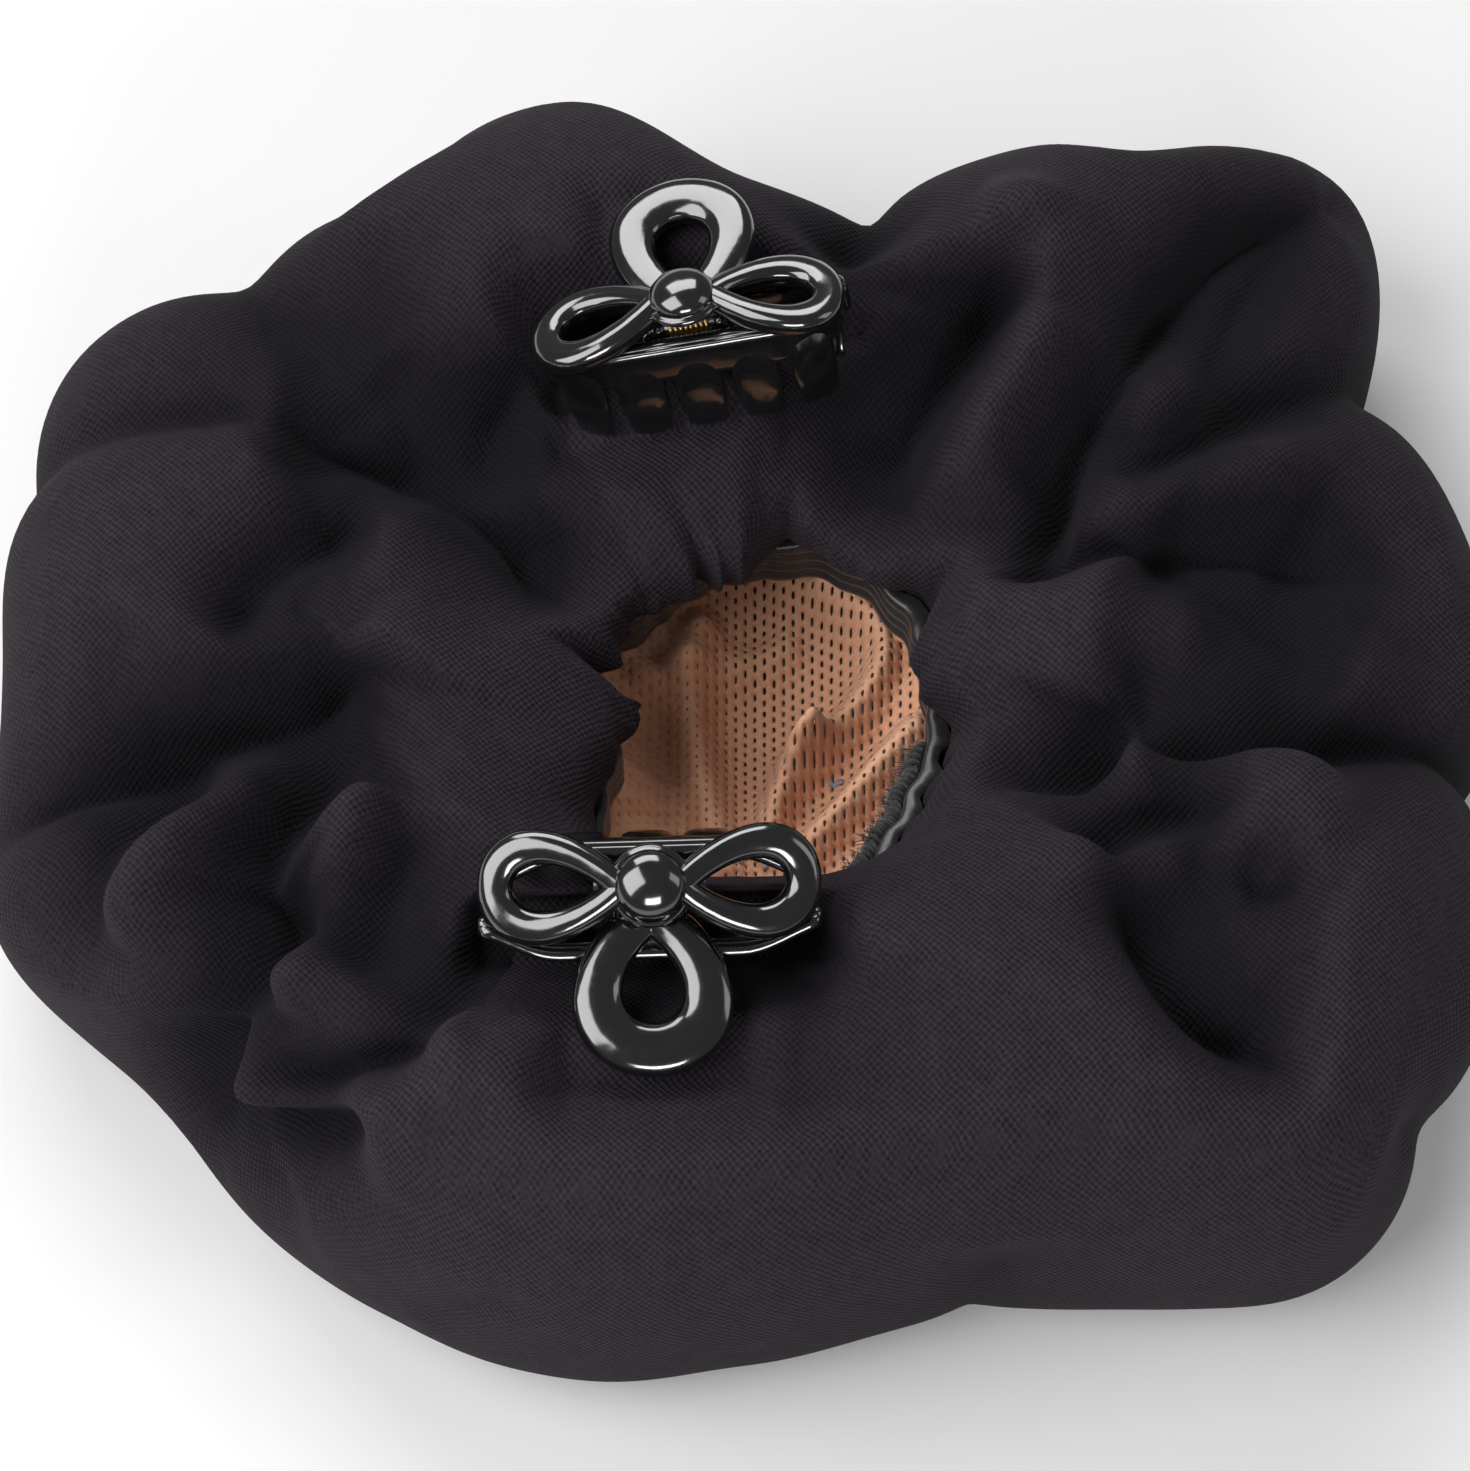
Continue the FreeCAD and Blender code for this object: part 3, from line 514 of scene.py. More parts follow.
def metal_material(name, dark, light, roughness):
    material, tree, shader = new_material(name)
    fine = noise(tree, object_place(tree), 1500)
    colour_between(tree, shader, fine, dark, light)
    shader.inputs["Metallic"].default_value = 1.0
    shader.inputs["Roughness"].default_value = roughness
    return material


# The cloth tube

def smooth(x):
    x = np.clip(x, 0, 1)
    return x * x * (3 - 2 * x)


def window(value, low, rise, high, fall):
    """1 between two limits and 0 outside them, with a soft start and end."""
    return smooth((value - low) / rise) * smooth((high - value) / fall)


def between_rows(name, angle):
    """Smooth value of a section column at any angle."""
    values = np.array([getattr(row, name) for row in SECTIONS], float)
    n = len(values)
    place = np.asarray(angle) / 360 * n % n
    i = np.floor(place).astype(int) % n
    t = place - np.floor(place)
    p0, p1, p2, p3 = (values[(i + k) % n] for k in (-1, 0, 1, 2))
    return 0.5 * (
        2 * p1
        + (p2 - p0) * t
        + (2 * p0 - 5 * p1 + 4 * p2 - p3) * t**2
        + (3 * p1 - p0 - 3 * p2 + p3) * t**3
    )


def plain_tube(angle, turn):
    """Places on the tube before any fold."""
    columns = ("inner", "outer", "crown", "waist")
    inner, outer, crown, waist = (between_rows(name, angle) for name in columns)
    c = np.cos(np.radians(turn))
    s = np.sin(np.radians(turn))
    power = np.where(s > 0, TOP_POWER, FOOT_POWER)
    across = np.sign(c) * np.abs(c) ** (2 / power)
    up = np.sign(s) * np.abs(s) ** (2 / power)
    radius = (inner + outer) / 2 + (outer - inner) / 2 * across
    z = waist + np.where(up > 0, crown - waist, waist) * up
    a = np.radians(angle)
    return np.stack((CENTRE_X + radius * np.cos(a), CENTRE_Y + radius * np.sin(a), z), -1)


def outward(angle, turn):
    step = 0.4
    round_ring = plain_tube(angle + step, turn) - plain_tube(angle - step, turn)
    round_tube = plain_tube(angle, turn + step) - plain_tube(angle, turn - step)
    normal = np.cross(round_ring, round_tube)
    return normal / np.maximum(np.linalg.norm(normal, axis=-1, keepdims=True), 1e-9)


def through(a, b, c, t):
    """A parabola that passes b at its middle."""
    control = 2 * b - (a + c) / 2
    return (1 - t) ** 2 * a + 2 * t * (1 - t) * control + t * t * c


def nearest_on(run, p):
    """Distance, share of the run, foot and direction of the nearest place on a run."""
    distance = np.full(len(p), 1e9)
    share = np.zeros(len(p))
    foot = np.zeros_like(p)
    along = np.zeros_like(p)
    for i in range(len(run) - 1):
        step = run[i + 1] - run[i]
        t = np.clip((p - run[i]) @ step / (step @ step), 0, 1)
        place = run[i] + t[:, None] * step
        d = np.linalg.norm(p - place, axis=1)
        won = d < distance
        distance[won] = d[won]
        share[won] = (i + t[won]) / (len(run) - 1)
        foot[won] = place[won]
        along[won] = step / np.linalg.norm(step)
    return distance, share, foot, along


def fold_push(fold, p, normal):
    """Which places one fold moves, how far along their normals, and by what sideways."""
    t = np.linspace(0, 1, FOLD_STEPS + 1)
    angle = through(fold.angle_a, fold.angle_b, fold.angle_c, t)
    turn = through(fold.turn_a, fold.turn_b, fold.turn_c, t)
    run = plain_tube(angle, turn)
    reach = 4.5 * max(fold.right, fold.left) + 3
    near = np.all((p > run.min(0) - reach) & (p < run.max(0) + reach), axis=1)
    q = p[near]
    distance, share, foot, along = nearest_on(run, q)
    fade = np.sqrt(smooth(np.minimum(share, 1 - share) / FOLD_FADE))
    across = np.cross(along, normal[near])
    on_right = 0.5 + 0.5 * np.tanh(np.sum((q - foot) * across, axis=1) / 1.2)
    width = fold.left + (fold.right - fold.left) * on_right
    if fold.depth > 0:
        sharp = np.hypot(distance, FOLD_ROUNDING) - FOLD_ROUNDING
        push = -fold.depth * fade * np.exp(-sharp / width)
    else:
        push = -fold.depth * fade * np.exp(-((distance / width) ** 2))
    sign = 1 if fold.right < fold.left else -1
    share_over = on_right if sign > 0 else 1 - on_right
    lean = fold.lean * fade * share_over * np.exp(-((distance / (1.6 * width)) ** 2))
    return near, push, across * (-sign * lean)[:, None]


def gathers(angle, turn):
    turn = turn % 360
    a = np.radians(angle)
    wave = 0.5 - 0.5 * np.cos(GATHERS * a + 1.3 * np.sin(3 * a))
    fine = 0.5 - 0.5 * np.cos(FINE_GATHERS * a + 2.1 * np.sin(5 * a))
    shown = window(turn, GATHER_FROM, GATHER_RISE, GATHER_TO, GATHER_FALL)
    return (GATHER_DEPTH * wave + FINE_GATHER_DEPTH * fine) * shown


def ripples(p):
    """The slight unevenness of soft cloth."""
    x, y, z = p.T / 10
    broad = np.sin(1.1 * x + 0.7 * y + 1.9) * np.sin(0.9 * y - 0.5 * x + 0.6 * z + 0.4)
    small = np.sin(2.3 * x - 1.7 * y + 0.9 * z) * np.sin(1.9 * y + 2.1 * x - 1.3 * z + 2.2)
    return 0.28 * broad + 0.13 * small


def knot_middle(clip):
    return np.array((clip.x, clip.y, clip.z))


def clip_axes(clip):
    """The clip's x, y and z directions."""
    lean = math.radians(clip.lean)
    z = Vector((0, clip.side * math.sin(lean), math.cos(lean)))
    y = Vector((0, clip.side * math.cos(lean), -math.sin(lean)))
    z = turned(z, y, clip.roll)
    y = turned(y, z, clip.spin)
    return np.array(y.cross(z)), np.array(y), np.array(z)


def turned(vector, axis, degrees):
    return Quaternion(axis, math.radians(degrees)) @ vector


def pressed(p):
    """The cloth's places once the clips' grooves and the ridge between them are pressed in."""
    p = p.copy()
    moved = np.zeros(len(p))
    for clip in CLIPS:
        x_dir, y_dir, z_dir = clip_axes(clip)
        d = p - knot_middle(clip)
        x = np.abs(d @ x_dir)
        y = d @ y_dir
        z = d @ z_dir
        end = np.maximum(0, x - GROOVE_END) * GROOVE_SLOPE
        side = np.maximum(0, np.abs(y) - GROOVE_HALF) * GROOVE_SLOPE
        level = GROOVE_LOW + end + side
        level = np.where(np.abs(y) < RIDGE_HALF, np.maximum(level, RIDGE_TOP), level)
        past = np.maximum(0, y - RING_REACH)
        middle = RING_LOW + (y - RING_APEX) * math.tan(math.radians(RING_RISE))
        beside = np.maximum(0, x - RING_SIDE)
        rest = middle - RING_TUBE - RING_GAP + (past + beside) * RING_SLOPE
        level = np.where(y > RING_APEX, np.minimum(level, rest), level)
        over = np.where((z > level) & (z - level < GROOVE_REACH), z - level, 0)
        p -= over[:, None] * z_dir
        moved += over
    return p, moved


def cloth_grid():
    """Places on the folded cloth's outer face, as rows of angle by turn, and the painted shade each
    place gets from its fold depth.
    """
    angle, turn = (g.ravel() for g in np.meshgrid(RING_ANGLES, TUBE_TURNS, indexing="ij"))
    p = plain_tube(angle, turn)
    normal = outward(angle, turn)
    push = np.zeros(len(p))
    aside = np.zeros_like(p)
    for fold in FOLDS:
        near, along, over = fold_push(fold, p, normal)
        push[near] += along
        aside[near] += over
    # The folds are deeper on the upper side than at the outline.
    gain = 1 + FOLD_GAIN * window(turn, GAIN_FROM, GAIN_RISE, GAIN_TO, GAIN_FALL)
    push = np.where(push < 0, push * gain, push)
    # Painted shade: the colour is darkened where the folds sink, more the deeper they go.
    painted_fold_shade = np.clip(-push / PAINTED_SHADE_FULL_DEPTH, 0, 1)
    push -= gathers(angle, turn)
    push = np.where(push < 0, -DEEPEST_FOLD * np.tanh(-push / DEEPEST_FOLD), push)
    p = p + normal * (push + ripples(p))[:, None] + aside
    p = evened(p, FOLD_ROUNDS)
    p = evened(lipped(p, angle, turn), LIP_ROUNDS)
    p, moved = pressed(p)
    p = soften(p, moved)
    p[:, 2] = np.maximum(p[:, 2] - FOOT_SINK, 0)
    return p.reshape(CLOTH_ANGLES, CLOTH_TURNS, 3), painted_fold_shade


def neighbours(grid):
    """The four neighbours of each place."""
    return [np.roll(grid, k, axis) for axis in (0, 1) for k in (-1, 1)]


def evened(p, rounds):
    """Takes the finest steps out of the cloth."""
    for _ in range(rounds):
        grid = p.reshape(CLOTH_ANGLES, CLOTH_TURNS, 3)
        even = sum(neighbours(grid)) / 4
        p = (grid + (even - grid) * EVEN_SHARE).reshape(-1, 3)
    return p


def lipped(p, angle, turn):
    """The hole's wall, rolled in above the elastic."""
    z = p[:, 2]
    shown = window(z, LIP_LOW, LIP_RISE, LIP_TOP, LIP_FADE)
    shown = shown * window(turn, LIP_FROM, LIP_FROM_RISE, LIP_TO, LIP_TO_FALL)
    reach = np.zeros(len(p))
    for lip in LIPS:
        away = np.abs((angle - lip.angle + 180) % 360 - 180)
        reach = np.maximum(reach, lip.reach * smooth(1.4 * (1 - away / lip.half_angle)))
    a = np.radians(angle)
    inward = -np.stack((np.cos(a), np.sin(a), np.zeros_like(a)), -1)
    return p + inward * (reach * shown)[:, None]


def soften(p, moved):
    """Evens out the walls of the clips' grooves, and presses them again."""
    share = smooth(moved.reshape(CLOTH_ANGLES, CLOTH_TURNS) / GROOVE_FULL)
    for _ in range(GROOVE_SPREADS):
        share = np.maximum(share, GROOVE_SPREAD_SHARE * np.max(neighbours(share), axis=0))
    for _ in range(GROOVE_ROUNDS):
        grid = p.reshape(CLOTH_ANGLES, CLOTH_TURNS, 3)
        even = sum(neighbours(grid)) / 4
        grid = grid + (even - grid) * GROOVE_EVEN_SHARE * share[..., None]
        p = pressed(grid.reshape(-1, 3))[0]
    return p


# Meshes

def mesh_object(name, places, faces, material):
    mesh = bpy.data.meshes.new(name)
    mesh.from_pydata((np.asarray(places) + MIDDLE) * MM, [], faces)
    mesh.update()
    mesh.polygons.foreach_set("use_smooth", [True] * len(mesh.polygons))
    mesh.materials.append(material)
    return add_object(name, mesh)


def full_turn(steps):
    """Even steps round a full turn, in radians."""
    return np.arange(steps) * 2 * np.pi / steps


def closed_faces(n, m):
    """Faces of an n by m grid that closes on itself both ways."""
    i = np.arange(n)[:, None]
    j = np.arange(m)[None, :]
    a = i * m + j
    b = (i + 1) % n * m + j
    c = (i + 1) % n * m + (j + 1) % m
    d = i * m + (j + 1) % m
    return np.stack((a, b, c, d), -1).reshape(-1, 4).tolist()


def closed_object(name, grid, material):
    """A surface from rows of places that closes on itself both ways."""
    return mesh_object(name, grid.reshape(-1, 3), closed_faces(*grid.shape[:2]), material)


def tube_faces(rows, sides):
    """Faces of a tube of rows of places, with one flat face at each end."""
    faces = []
    for i in range(rows - 1):
        low = i * sides
        high = low + sides
        for j in range(sides):
            k = (j + 1) % sides
            faces.append((low + j, low + k, high + k, high + j))
    faces.append(tuple(range(sides))[::-1])
    faces.append(tuple(range((rows - 1) * sides, rows * sides)))
    return faces


def face_outward(piece, merge=0.0):
    """Turns the faces outward, after joining places that are nearer than merge."""
    work = bmesh.new()
    work.from_mesh(piece.data)
    if merge:
        bmesh.ops.remove_doubles(work, verts=work.verts, dist=merge * MM)
    bmesh.ops.recalc_face_normals(work, faces=work.faces)
    work.to_mesh(piece.data)
    work.free()


def shade_corners(piece):
    """Keeps flat faces flat where they meet rounded ones."""
    modifier = piece.modifiers.new("shade", "WEIGHTED_NORMAL")
    modifier.keep_sharp = True


def add_ruffle(grid, painted_fold_shade, material):
    piece = closed_object("ruffle_cloth", grid, material)
    # The painted shade of the folds, kept on the mesh for the cloth's colour.
    shade = piece.data.attributes.new("painted_fold_shade", "FLOAT", "POINT")
    shade.data.foreach_set("value", painted_fold_shade.astype(np.float32))
    return piece


# The hole: elastic, seam and net

def hole_radius(grid, low, high):
    """The cloth's smallest radius at the hole between two heights, for each angle."""
    radius = np.hypot(grid[..., 0] - CENTRE_X, grid[..., 1] - CENTRE_Y)
    inside = (TUBE_TURNS > HOLE_FROM) & (TUBE_TURNS < HOLE_TO)
    level = (grid[..., 2] > low - HOLE_MARGIN) & (grid[..., 2] < high + HOLE_MARGIN)
    return np.where(inside & level, radius, 1e9).min(1)


def even_ring(values, reach):
    """The mean of each value and its neighbours round the ring."""
    total = sum(np.roll(values, k) for k in range(-reach, reach + 1))
    return total / (2 * reach + 1)


def ring_places(angle, radius, z):
    a, radius, z = np.broadcast_arrays(np.radians(angle), radius, z)
    return np.stack((CENTRE_X + radius * np.cos(a), CENTRE_Y + radius * np.sin(a), z), -1)


def add_elastic(grid, material):
    """A band with raised ribs, gathered against the cloth."""
    back = hole_radius(grid, BAND_LOW, BAND_HIGH) - BAND_GAP
    near = [np.roll(back, k) for k in range(-BAND_EVEN_REACH, BAND_EVEN_REACH + 1)]
    steady = even_ring(np.minimum.reduce(near), BAND_EVEN_REACH)
    steps = BAND_RIB_STEPS * BAND_RIBS
    columns = [ring_places(RING_ANGLES, back, z) for z in (BAND_HIGH, BAND_LOW)]
    a = np.radians(RING_ANGLES)
    wobble = 0.25 * np.sin(a * 9) + 0.15 * np.sin(a * 23)
    for k in range(steps + 1):
        share = k / steps
        z = BAND_LOW + (BAND_HIGH - BAND_LOW) * share + wobble * 4 * share * (1 - share)
        rib = BAND_RIB_HEIGHT * abs(math.sin(math.pi * BAND_RIBS * share)) ** BAND_RIB_POWER
        columns.append(ring_places(RING_ANGLES, steady - BAND_THICK - rib, z))
    return closed_object("elastic", np.stack(columns, 1), material), steady


def net_level(x, y, share):
    """The net's height at places whose share of the way out to its rim is known."""
    z = NET_LOW_Z + (NET_RIM_Z - NET_LOW_Z) * share**NET_BOWL_POWER
    t = np.linspace(0, 1, NET_FOLD_STEPS + 1)
    place = np.stack((x, y, np.zeros_like(x)), -1)
    for fold in NET_FOLDS:
        run = np.stack((
            through(fold.x_a, fold.x_b, fold.x_c, t),
            through(fold.y_a, fold.y_b, fold.y_c, t),
            np.zeros_like(t),
        ), -1)
        distance, along, _, _ = nearest_on(run, place)
        rise = fold.height * (1 - share**5) * np.exp(-((distance / fold.width) ** 2))
        z = z + rise * (1 - NET_FOLD_TAPER * along)
    return z


def add_net(grid, material):
    """Threads round rows of oblong holes, each row half a hole off the next."""
    rim = even_ring(hole_radius(grid, NET_RIM_Z - 2, NET_RIM_Z), 2) - NET_RIM_GAP
    half_x = NET_CELL_X / 2
    half_y = NET_CELL_Y / 2
    corners = ((half_x, half_y), (0, half_y), (-half_x, half_y), (-half_x, 0),
               (-half_x, -half_y), (0, -half_y), (half_x, -half_y), (half_x, 0))
    hole = [(cx / half_x * NET_HOLE_X / 2 * (NET_CORNER_X if cx and cy else 1),
             cy / half_y * NET_HOLE_Y / 2 * (NET_CORNER_Y if cx and cy else 1)) for cx, cy in corners]
    columns = int(NET_REACH / NET_CELL_X)
    rows = int(NET_REACH / NET_CELL_Y)
    centres = np.array([
        (c * NET_CELL_X, (r + 0.5 * (c % 2)) * NET_CELL_Y)
        for c in range(-columns, columns + 1)
        for r in range(-rows, rows + 1)
    ])
    centres = centres[np.hypot(*centres.T) < rim_beside(rim, centres)]
    places = []
    faces = []
    n = len(corners)
    for x, y in centres:
        start = len(places)
        places += [(x + cx, y + cy) for cx, cy in corners]
        size = NET_SMALLEST_HOLE + (1 - NET_SMALLEST_HOLE) * float(smooth((x + 9) / 12))
        places += [(x + hx * size, y + hy * size) for hx, hy in hole]
        for k in range(n):
            a = start + k
            b = start + (k + 1) % n
            faces.append((a, b, b + n, a + n))
    flat = np.array(places)
    radius = np.hypot(*flat.T)
    limit = rim_beside(rim, flat)
    scale = np.where(radius > limit, limit / np.maximum(radius, 1e-6), 1)
    flat = flat * scale[:, None]
    share = np.clip(np.hypot(*flat.T) / limit, 0, 1)
    x = flat[:, 0] + CENTRE_X
    y = flat[:, 1] + CENTRE_Y
    piece = mesh_object("net", np.stack((x, y, net_level(x, y, share)), -1), faces, material)
    face_outward(piece, NET_MERGE)
    thicken = piece.modifiers.new("thread", "SOLIDIFY")
    thicken.thickness = NET_THREAD * MM
    thicken.offset = 0
    return piece, rim


def rim_at(rim, angle):
    """The rim's radius at any angle."""
    places = np.arange(len(rim) + 1) * 360 / len(rim)
    return np.interp(angle, places, np.append(rim, rim[0]))


def rim_beside(rim, flat):
    """The rim's radius in the direction of each place."""
    return rim_at(rim, np.degrees(np.arctan2(flat[:, 1], flat[:, 0])) % 360)


def add_hem(rim, grid, material):
    """The net's turned edge, which closes it against the cloth under the elastic."""
    a = np.radians(RING_ANGLES)
    out = hole_radius(grid, NET_RIM_Z, BAND_LOW) - 0.1
    fray = 0.12 * np.sin(a * 87) + 0.1 * np.sin(a * 53 + 1)
    outline = (
        (out, -0.5),
        (rim - 0.9 + fray, -0.25),
        (rim - 1.1 + fray, 0.3),
        (rim - 0.8 + fray, 0.8),
        (out, 0.9),
    )
    loop = [ring_places(RING_ANGLES, radius, NET_RIM_Z + rise) for radius, rise in outline]
    return closed_object("net_hem", np.stack(loop, 1), material)


def tube_along(path, radius, sides):
    """Places and faces of a closed round tube along a path."""
    path = np.asarray(path, float)
    along = np.gradient(path, axis=0)
    along /= np.linalg.norm(along, axis=1, keepdims=True)
    side = np.cross(along, (0.31, 0.17, 0.93))
    side /= np.linalg.norm(side, axis=1, keepdims=True)
    up = np.cross(side, along)
    radius = np.broadcast_to(radius, len(path))
    turn = full_turn(sides)
    ring = side[:, None] * np.cos(turn)[None, :, None] + up[:, None] * np.sin(turn)[None, :, None]
    places = (path[:, None] + ring * radius[:, None, None]).reshape(-1, 3)
    return places, tube_faces(len(path), sides)


def join_parts(name, parts, material):
    """One object from several pairs of places and faces."""
    places = []
    faces = []
    for part_places, part_faces in parts:
        start = len(places)
        places += part_places.tolist()
        faces += [tuple(start + k for k in face) for face in part_faces]
    return mesh_object(name, places, faces, material)


def seam_at(steady, share):
    """The seam's angle, fullness and foot radius at a share of its length."""
    angle = SEAM_FROM + (SEAM_TO - SEAM_FROM) * share
    full = float(smooth(min(share, 1 - share) * 6 + 0.3))
    back = rim_at(steady, angle % 360) - BAND_THICK - BAND_RIB_HEIGHT
    return angle, full, back


def add_seam(steady, material):
    """Overlock stitches: thread loops over the seam's edge, with loose ends."""
    rng = np.random.default_rng(7)
    tubes = []
    t = np.linspace(0, 1, 13) * 2 * np.pi
    for i in range(SEAM_LOOPS):
        angle, full, back = seam_at(steady, i / (SEAM_LOOPS - 1))
        drift = rng.uniform(-0.9, 0.9)
        radius = back - SEAM_DEPTH * full + 0.75 * full * np.cos(t)
        z = SEAM_MIDDLE_Z + SEAM_HALF_HEIGHT * full * np.sin(t) + rng.uniform(-0.2, 0.2)
        path = ring_places(angle + drift * np.sin(t) * 0.8 + 0.3 * np.cos(t), radius, z)
        tubes.append(tube_along(path, 0.26, 6))
    t = np.linspace(0, 1, 4)[:, None]
    for _ in range(SEAM_HAIRS):
        angle, full, back = seam_at(steady, rng.uniform(0, 1))
        turn = rng.uniform(0.5 * np.pi, 1.5 * np.pi)
        radius = back - SEAM_DEPTH * full + 0.8 * full * np.cos(turn)
        z = SEAM_MIDDLE_Z + SEAM_HALF_HEIGHT * full * np.sin(turn)
        start = ring_places(angle, radius, z)
        way = ring_places(angle, -1.0, 0) - ring_places(angle, 0, 0)
        way = way * 0.6 + rng.normal(0, 0.6, 3)
        bend = rng.normal(0, 0.35, 3)
        path = start + way * t * rng.uniform(0.4, 0.9) + bend * t**2
        tubes.append(tube_along(path, np.linspace(0.07, 0.025, 4), 3))
    return join_parts("overlock", tubes, material)


def add_specks(material):
    """A few grey flecks printed on the net, as small thin discs that lie on its threads."""
    rng = np.random.default_rng(3)
    places = []
    faces = []
    n = FLECK_SIDES
    turn = full_turn(n)
    for spot_x, spot_y in FLECK_SPOTS:
        for _ in range(FLECKS_PER_SPOT):
            x = spot_x + rng.normal(0, FLECK_SPREAD) + FLECK_RADIUS * np.cos(turn)
            y = spot_y + rng.normal(0, FLECK_SPREAD) + FLECK_RADIUS * np.sin(turn)
            away = np.hypot(x - CENTRE_X, y - CENTRE_Y)
            z = net_level(x, y, np.minimum(away / FLECK_NET_RADIUS, 1.0)) + NET_THREAD / 2
            start = len(places)
            for lift in (-FLECK_HALF_THICK, FLECK_HALF_THICK):
                places += np.stack((x, y, z + lift), -1).tolist()
            faces.append(tuple(range(start + n, start + 2 * n)))
            faces.append(tuple(range(start, start + n))[::-1])
            for k in range(n):
                j = (k + 1) % n
                faces.append((start + k, start + j, start + n + j, start + n + k))
    return mesh_object("flecks", places, faces, material)


# The clips

KNOT_RADIUS = 3.05
COLLAR_RADIUS = 3.5
LOOP_DROOP = 12.0
LOOP_HALF_THICK = 1.25
EAR_RADIUS = 1.2
EAR_HALF_THICK = 0.45
PIN_HOLE = 0.66
TEETH = 5
TOOTH_HALF_THICK = 0.7
SLOT_HALF = 0.42
TOOTH_TAPER = 0.16
TOOTH_THINNING = 0.35
WALL_BEND = 2.6
KNOT_RISE = 1.95
BOW_EAR_X = 4.0
RING_EAR_X = 2.8
EAR_SIDES = 28
COIL_TURNS = 8
COIL_STEPS = 16
COIL_HALF = 1.9
COIL_RADIUS = 1.02
COIL_WIRE = 0.2
X_AXIS = (1, 0, 0)
Y_AXIS = (0, 1, 0)
Z_AXIS = (0, 0, 1)

# How large a bar's rounded end is, and how far it stands out, at its first and second ring.
END_RINGS = ((0.85, 0.5), (0.55, 0.8))

# One comb wall: its side of the hinge, half length, and its places in y and z from top to tip.
Wall = namedtuple("Wall", "side half_length top_y top_z belly_y belly_z tip_y tip_z")
BOW_WALL = Wall(-1, 13.2, 2.5, -3.2, 3.5, -8.4, 2.5, -13.2)
RING_WALL = Wall(1, 14.0, 5.5, -5.0, 6.3, -9.0, 5.0, -13.2)

# A petal's outline from its pointed end to its round end, along its own middle line.
Outline = namedtuple("Outline", "start end half_width point")
LOOP_OUTER = Outline(0.8, 14.7, 4.9, 0.9)
LOOP_HOLE = Outline(4.2, 11.7, 1.9, 0.9)
RING_OUTER = Outline(0.6, 16.4, 6.8, 0.5)
RING_HOLE = Outline(4.8, 11.8, 2.5, 0.8)
RING_START = 2.9


def outline_places(outline, s):
    """Places along and across a petal's middle line."""
    shape = np.sin(s) * np.abs(np.sin(s / 2)) ** outline.point
    across = outline.half_width * shape / np.abs(shape).max()
    along = outline.start + (outline.end - outline.start) * (1 - np.cos(s)) / 2
    return along, across


def rounded(turn, power):
    """A rounded box outline: cosine and sine, squared off by the power."""
    c = np.cos(turn)
    k = np.sin(turn)
    return np.sign(c) * np.abs(c) ** (2 / power), np.sign(k) * np.abs(k) ** (2 / power)


def petal(outer, hole, half_thick, count=112, sides=18):
    """A thick ribbon loop in the plane of along and across, with a rounded section."""
    s = (np.arange(count) + 0.5) * 2 * np.pi / count
    out = np.stack(outline_places(outer, s), -1)
    inn = np.stack(outline_places(hole, s), -1)
    middle = (out + inn) / 2
    half = (out - inn) / 2
    c, k = rounded(full_turn(sides), 2.4)
    flat = middle[:, None] + half[:, None] * c[None, :, None]
    height = np.broadcast_to(half_thick * k, (count, sides))
    places = np.concatenate((flat, height[..., None]), -1).reshape(-1, 3)
    return places, closed_faces(count, sides)


def loft(path, side, up, half_side, half_up, power=2.0, sides=16):
    """A closed bar along a path, with rounded ends. side and up are directions at each place."""
    path, side, up = (np.asarray(v, float) for v in (path, side, up))
    side = np.broadcast_to(side, path.shape)
    up = np.broadcast_to(up, path.shape)
    half_side = np.broadcast_to(half_side, len(path)).astype(float)
    half_up = np.broadcast_to(half_up, len(path)).astype(float)
    c, k = rounded(full_turn(sides), power)

    def end_rows(end, inner):
        away = path[end] - path[inner]
        away = away / np.linalg.norm(away)
        reach = min(half_side[end], half_up[end])
        ring = np.outer(c, side[end]) * half_side[end] + np.outer(k, up[end]) * half_up[end]
        return [path[end] + away * (reach * lift) + ring * share for share, lift in END_RINGS]

    body = side[:, None] * (c[None, :, None] * half_side[:, None, None])
    body = body + up[:, None] * (k[None, :, None] * half_up[:, None, None])
    rows = end_rows(0, 1)[::-1] + list(path[:, None] + body) + end_rows(-1, -2)
    return np.array(rows).reshape(-1, 3), tube_faces(len(rows), sides)


def lathe(profile, sides=48):
    """A solid turned round z from radius and height pairs, closed at both ends."""
    profile = np.asarray(profile, float)
    turn = full_turn(sides)
    x = profile[:, 0, None] * np.cos(turn)
    y = profile[:, 0, None] * np.sin(turn)
    z = np.broadcast_to(profile[:, 1, None], x.shape)
    places = np.stack((x, y, z), -1).reshape(-1, 3)
    return places, tube_faces(len(profile), sides)


def straight(start, end):
    """Five places from one to the other."""
    t = np.linspace(0, 1, 5)[:, None]
    return np.array(start) * (1 - t) + np.array(end) * t


def knot():
    """A dome on a thin collar."""
    t = np.linspace(0, np.pi / 2, 12)
    collar = [
        (0.4, -1.0),
        (COLLAR_RADIUS - 0.3, -1.0),
        (COLLAR_RADIUS, -0.75),
        (COLLAR_RADIUS, -0.45),
        (COLLAR_RADIUS - 0.2, -0.2),
        (KNOT_RADIUS + 0.02, -0.15),
    ]
    dome = [(KNOT_RADIUS * math.cos(a) + 0.01, KNOT_RISE * math.sin(a)) for a in t]
    return lathe(collar + dome)


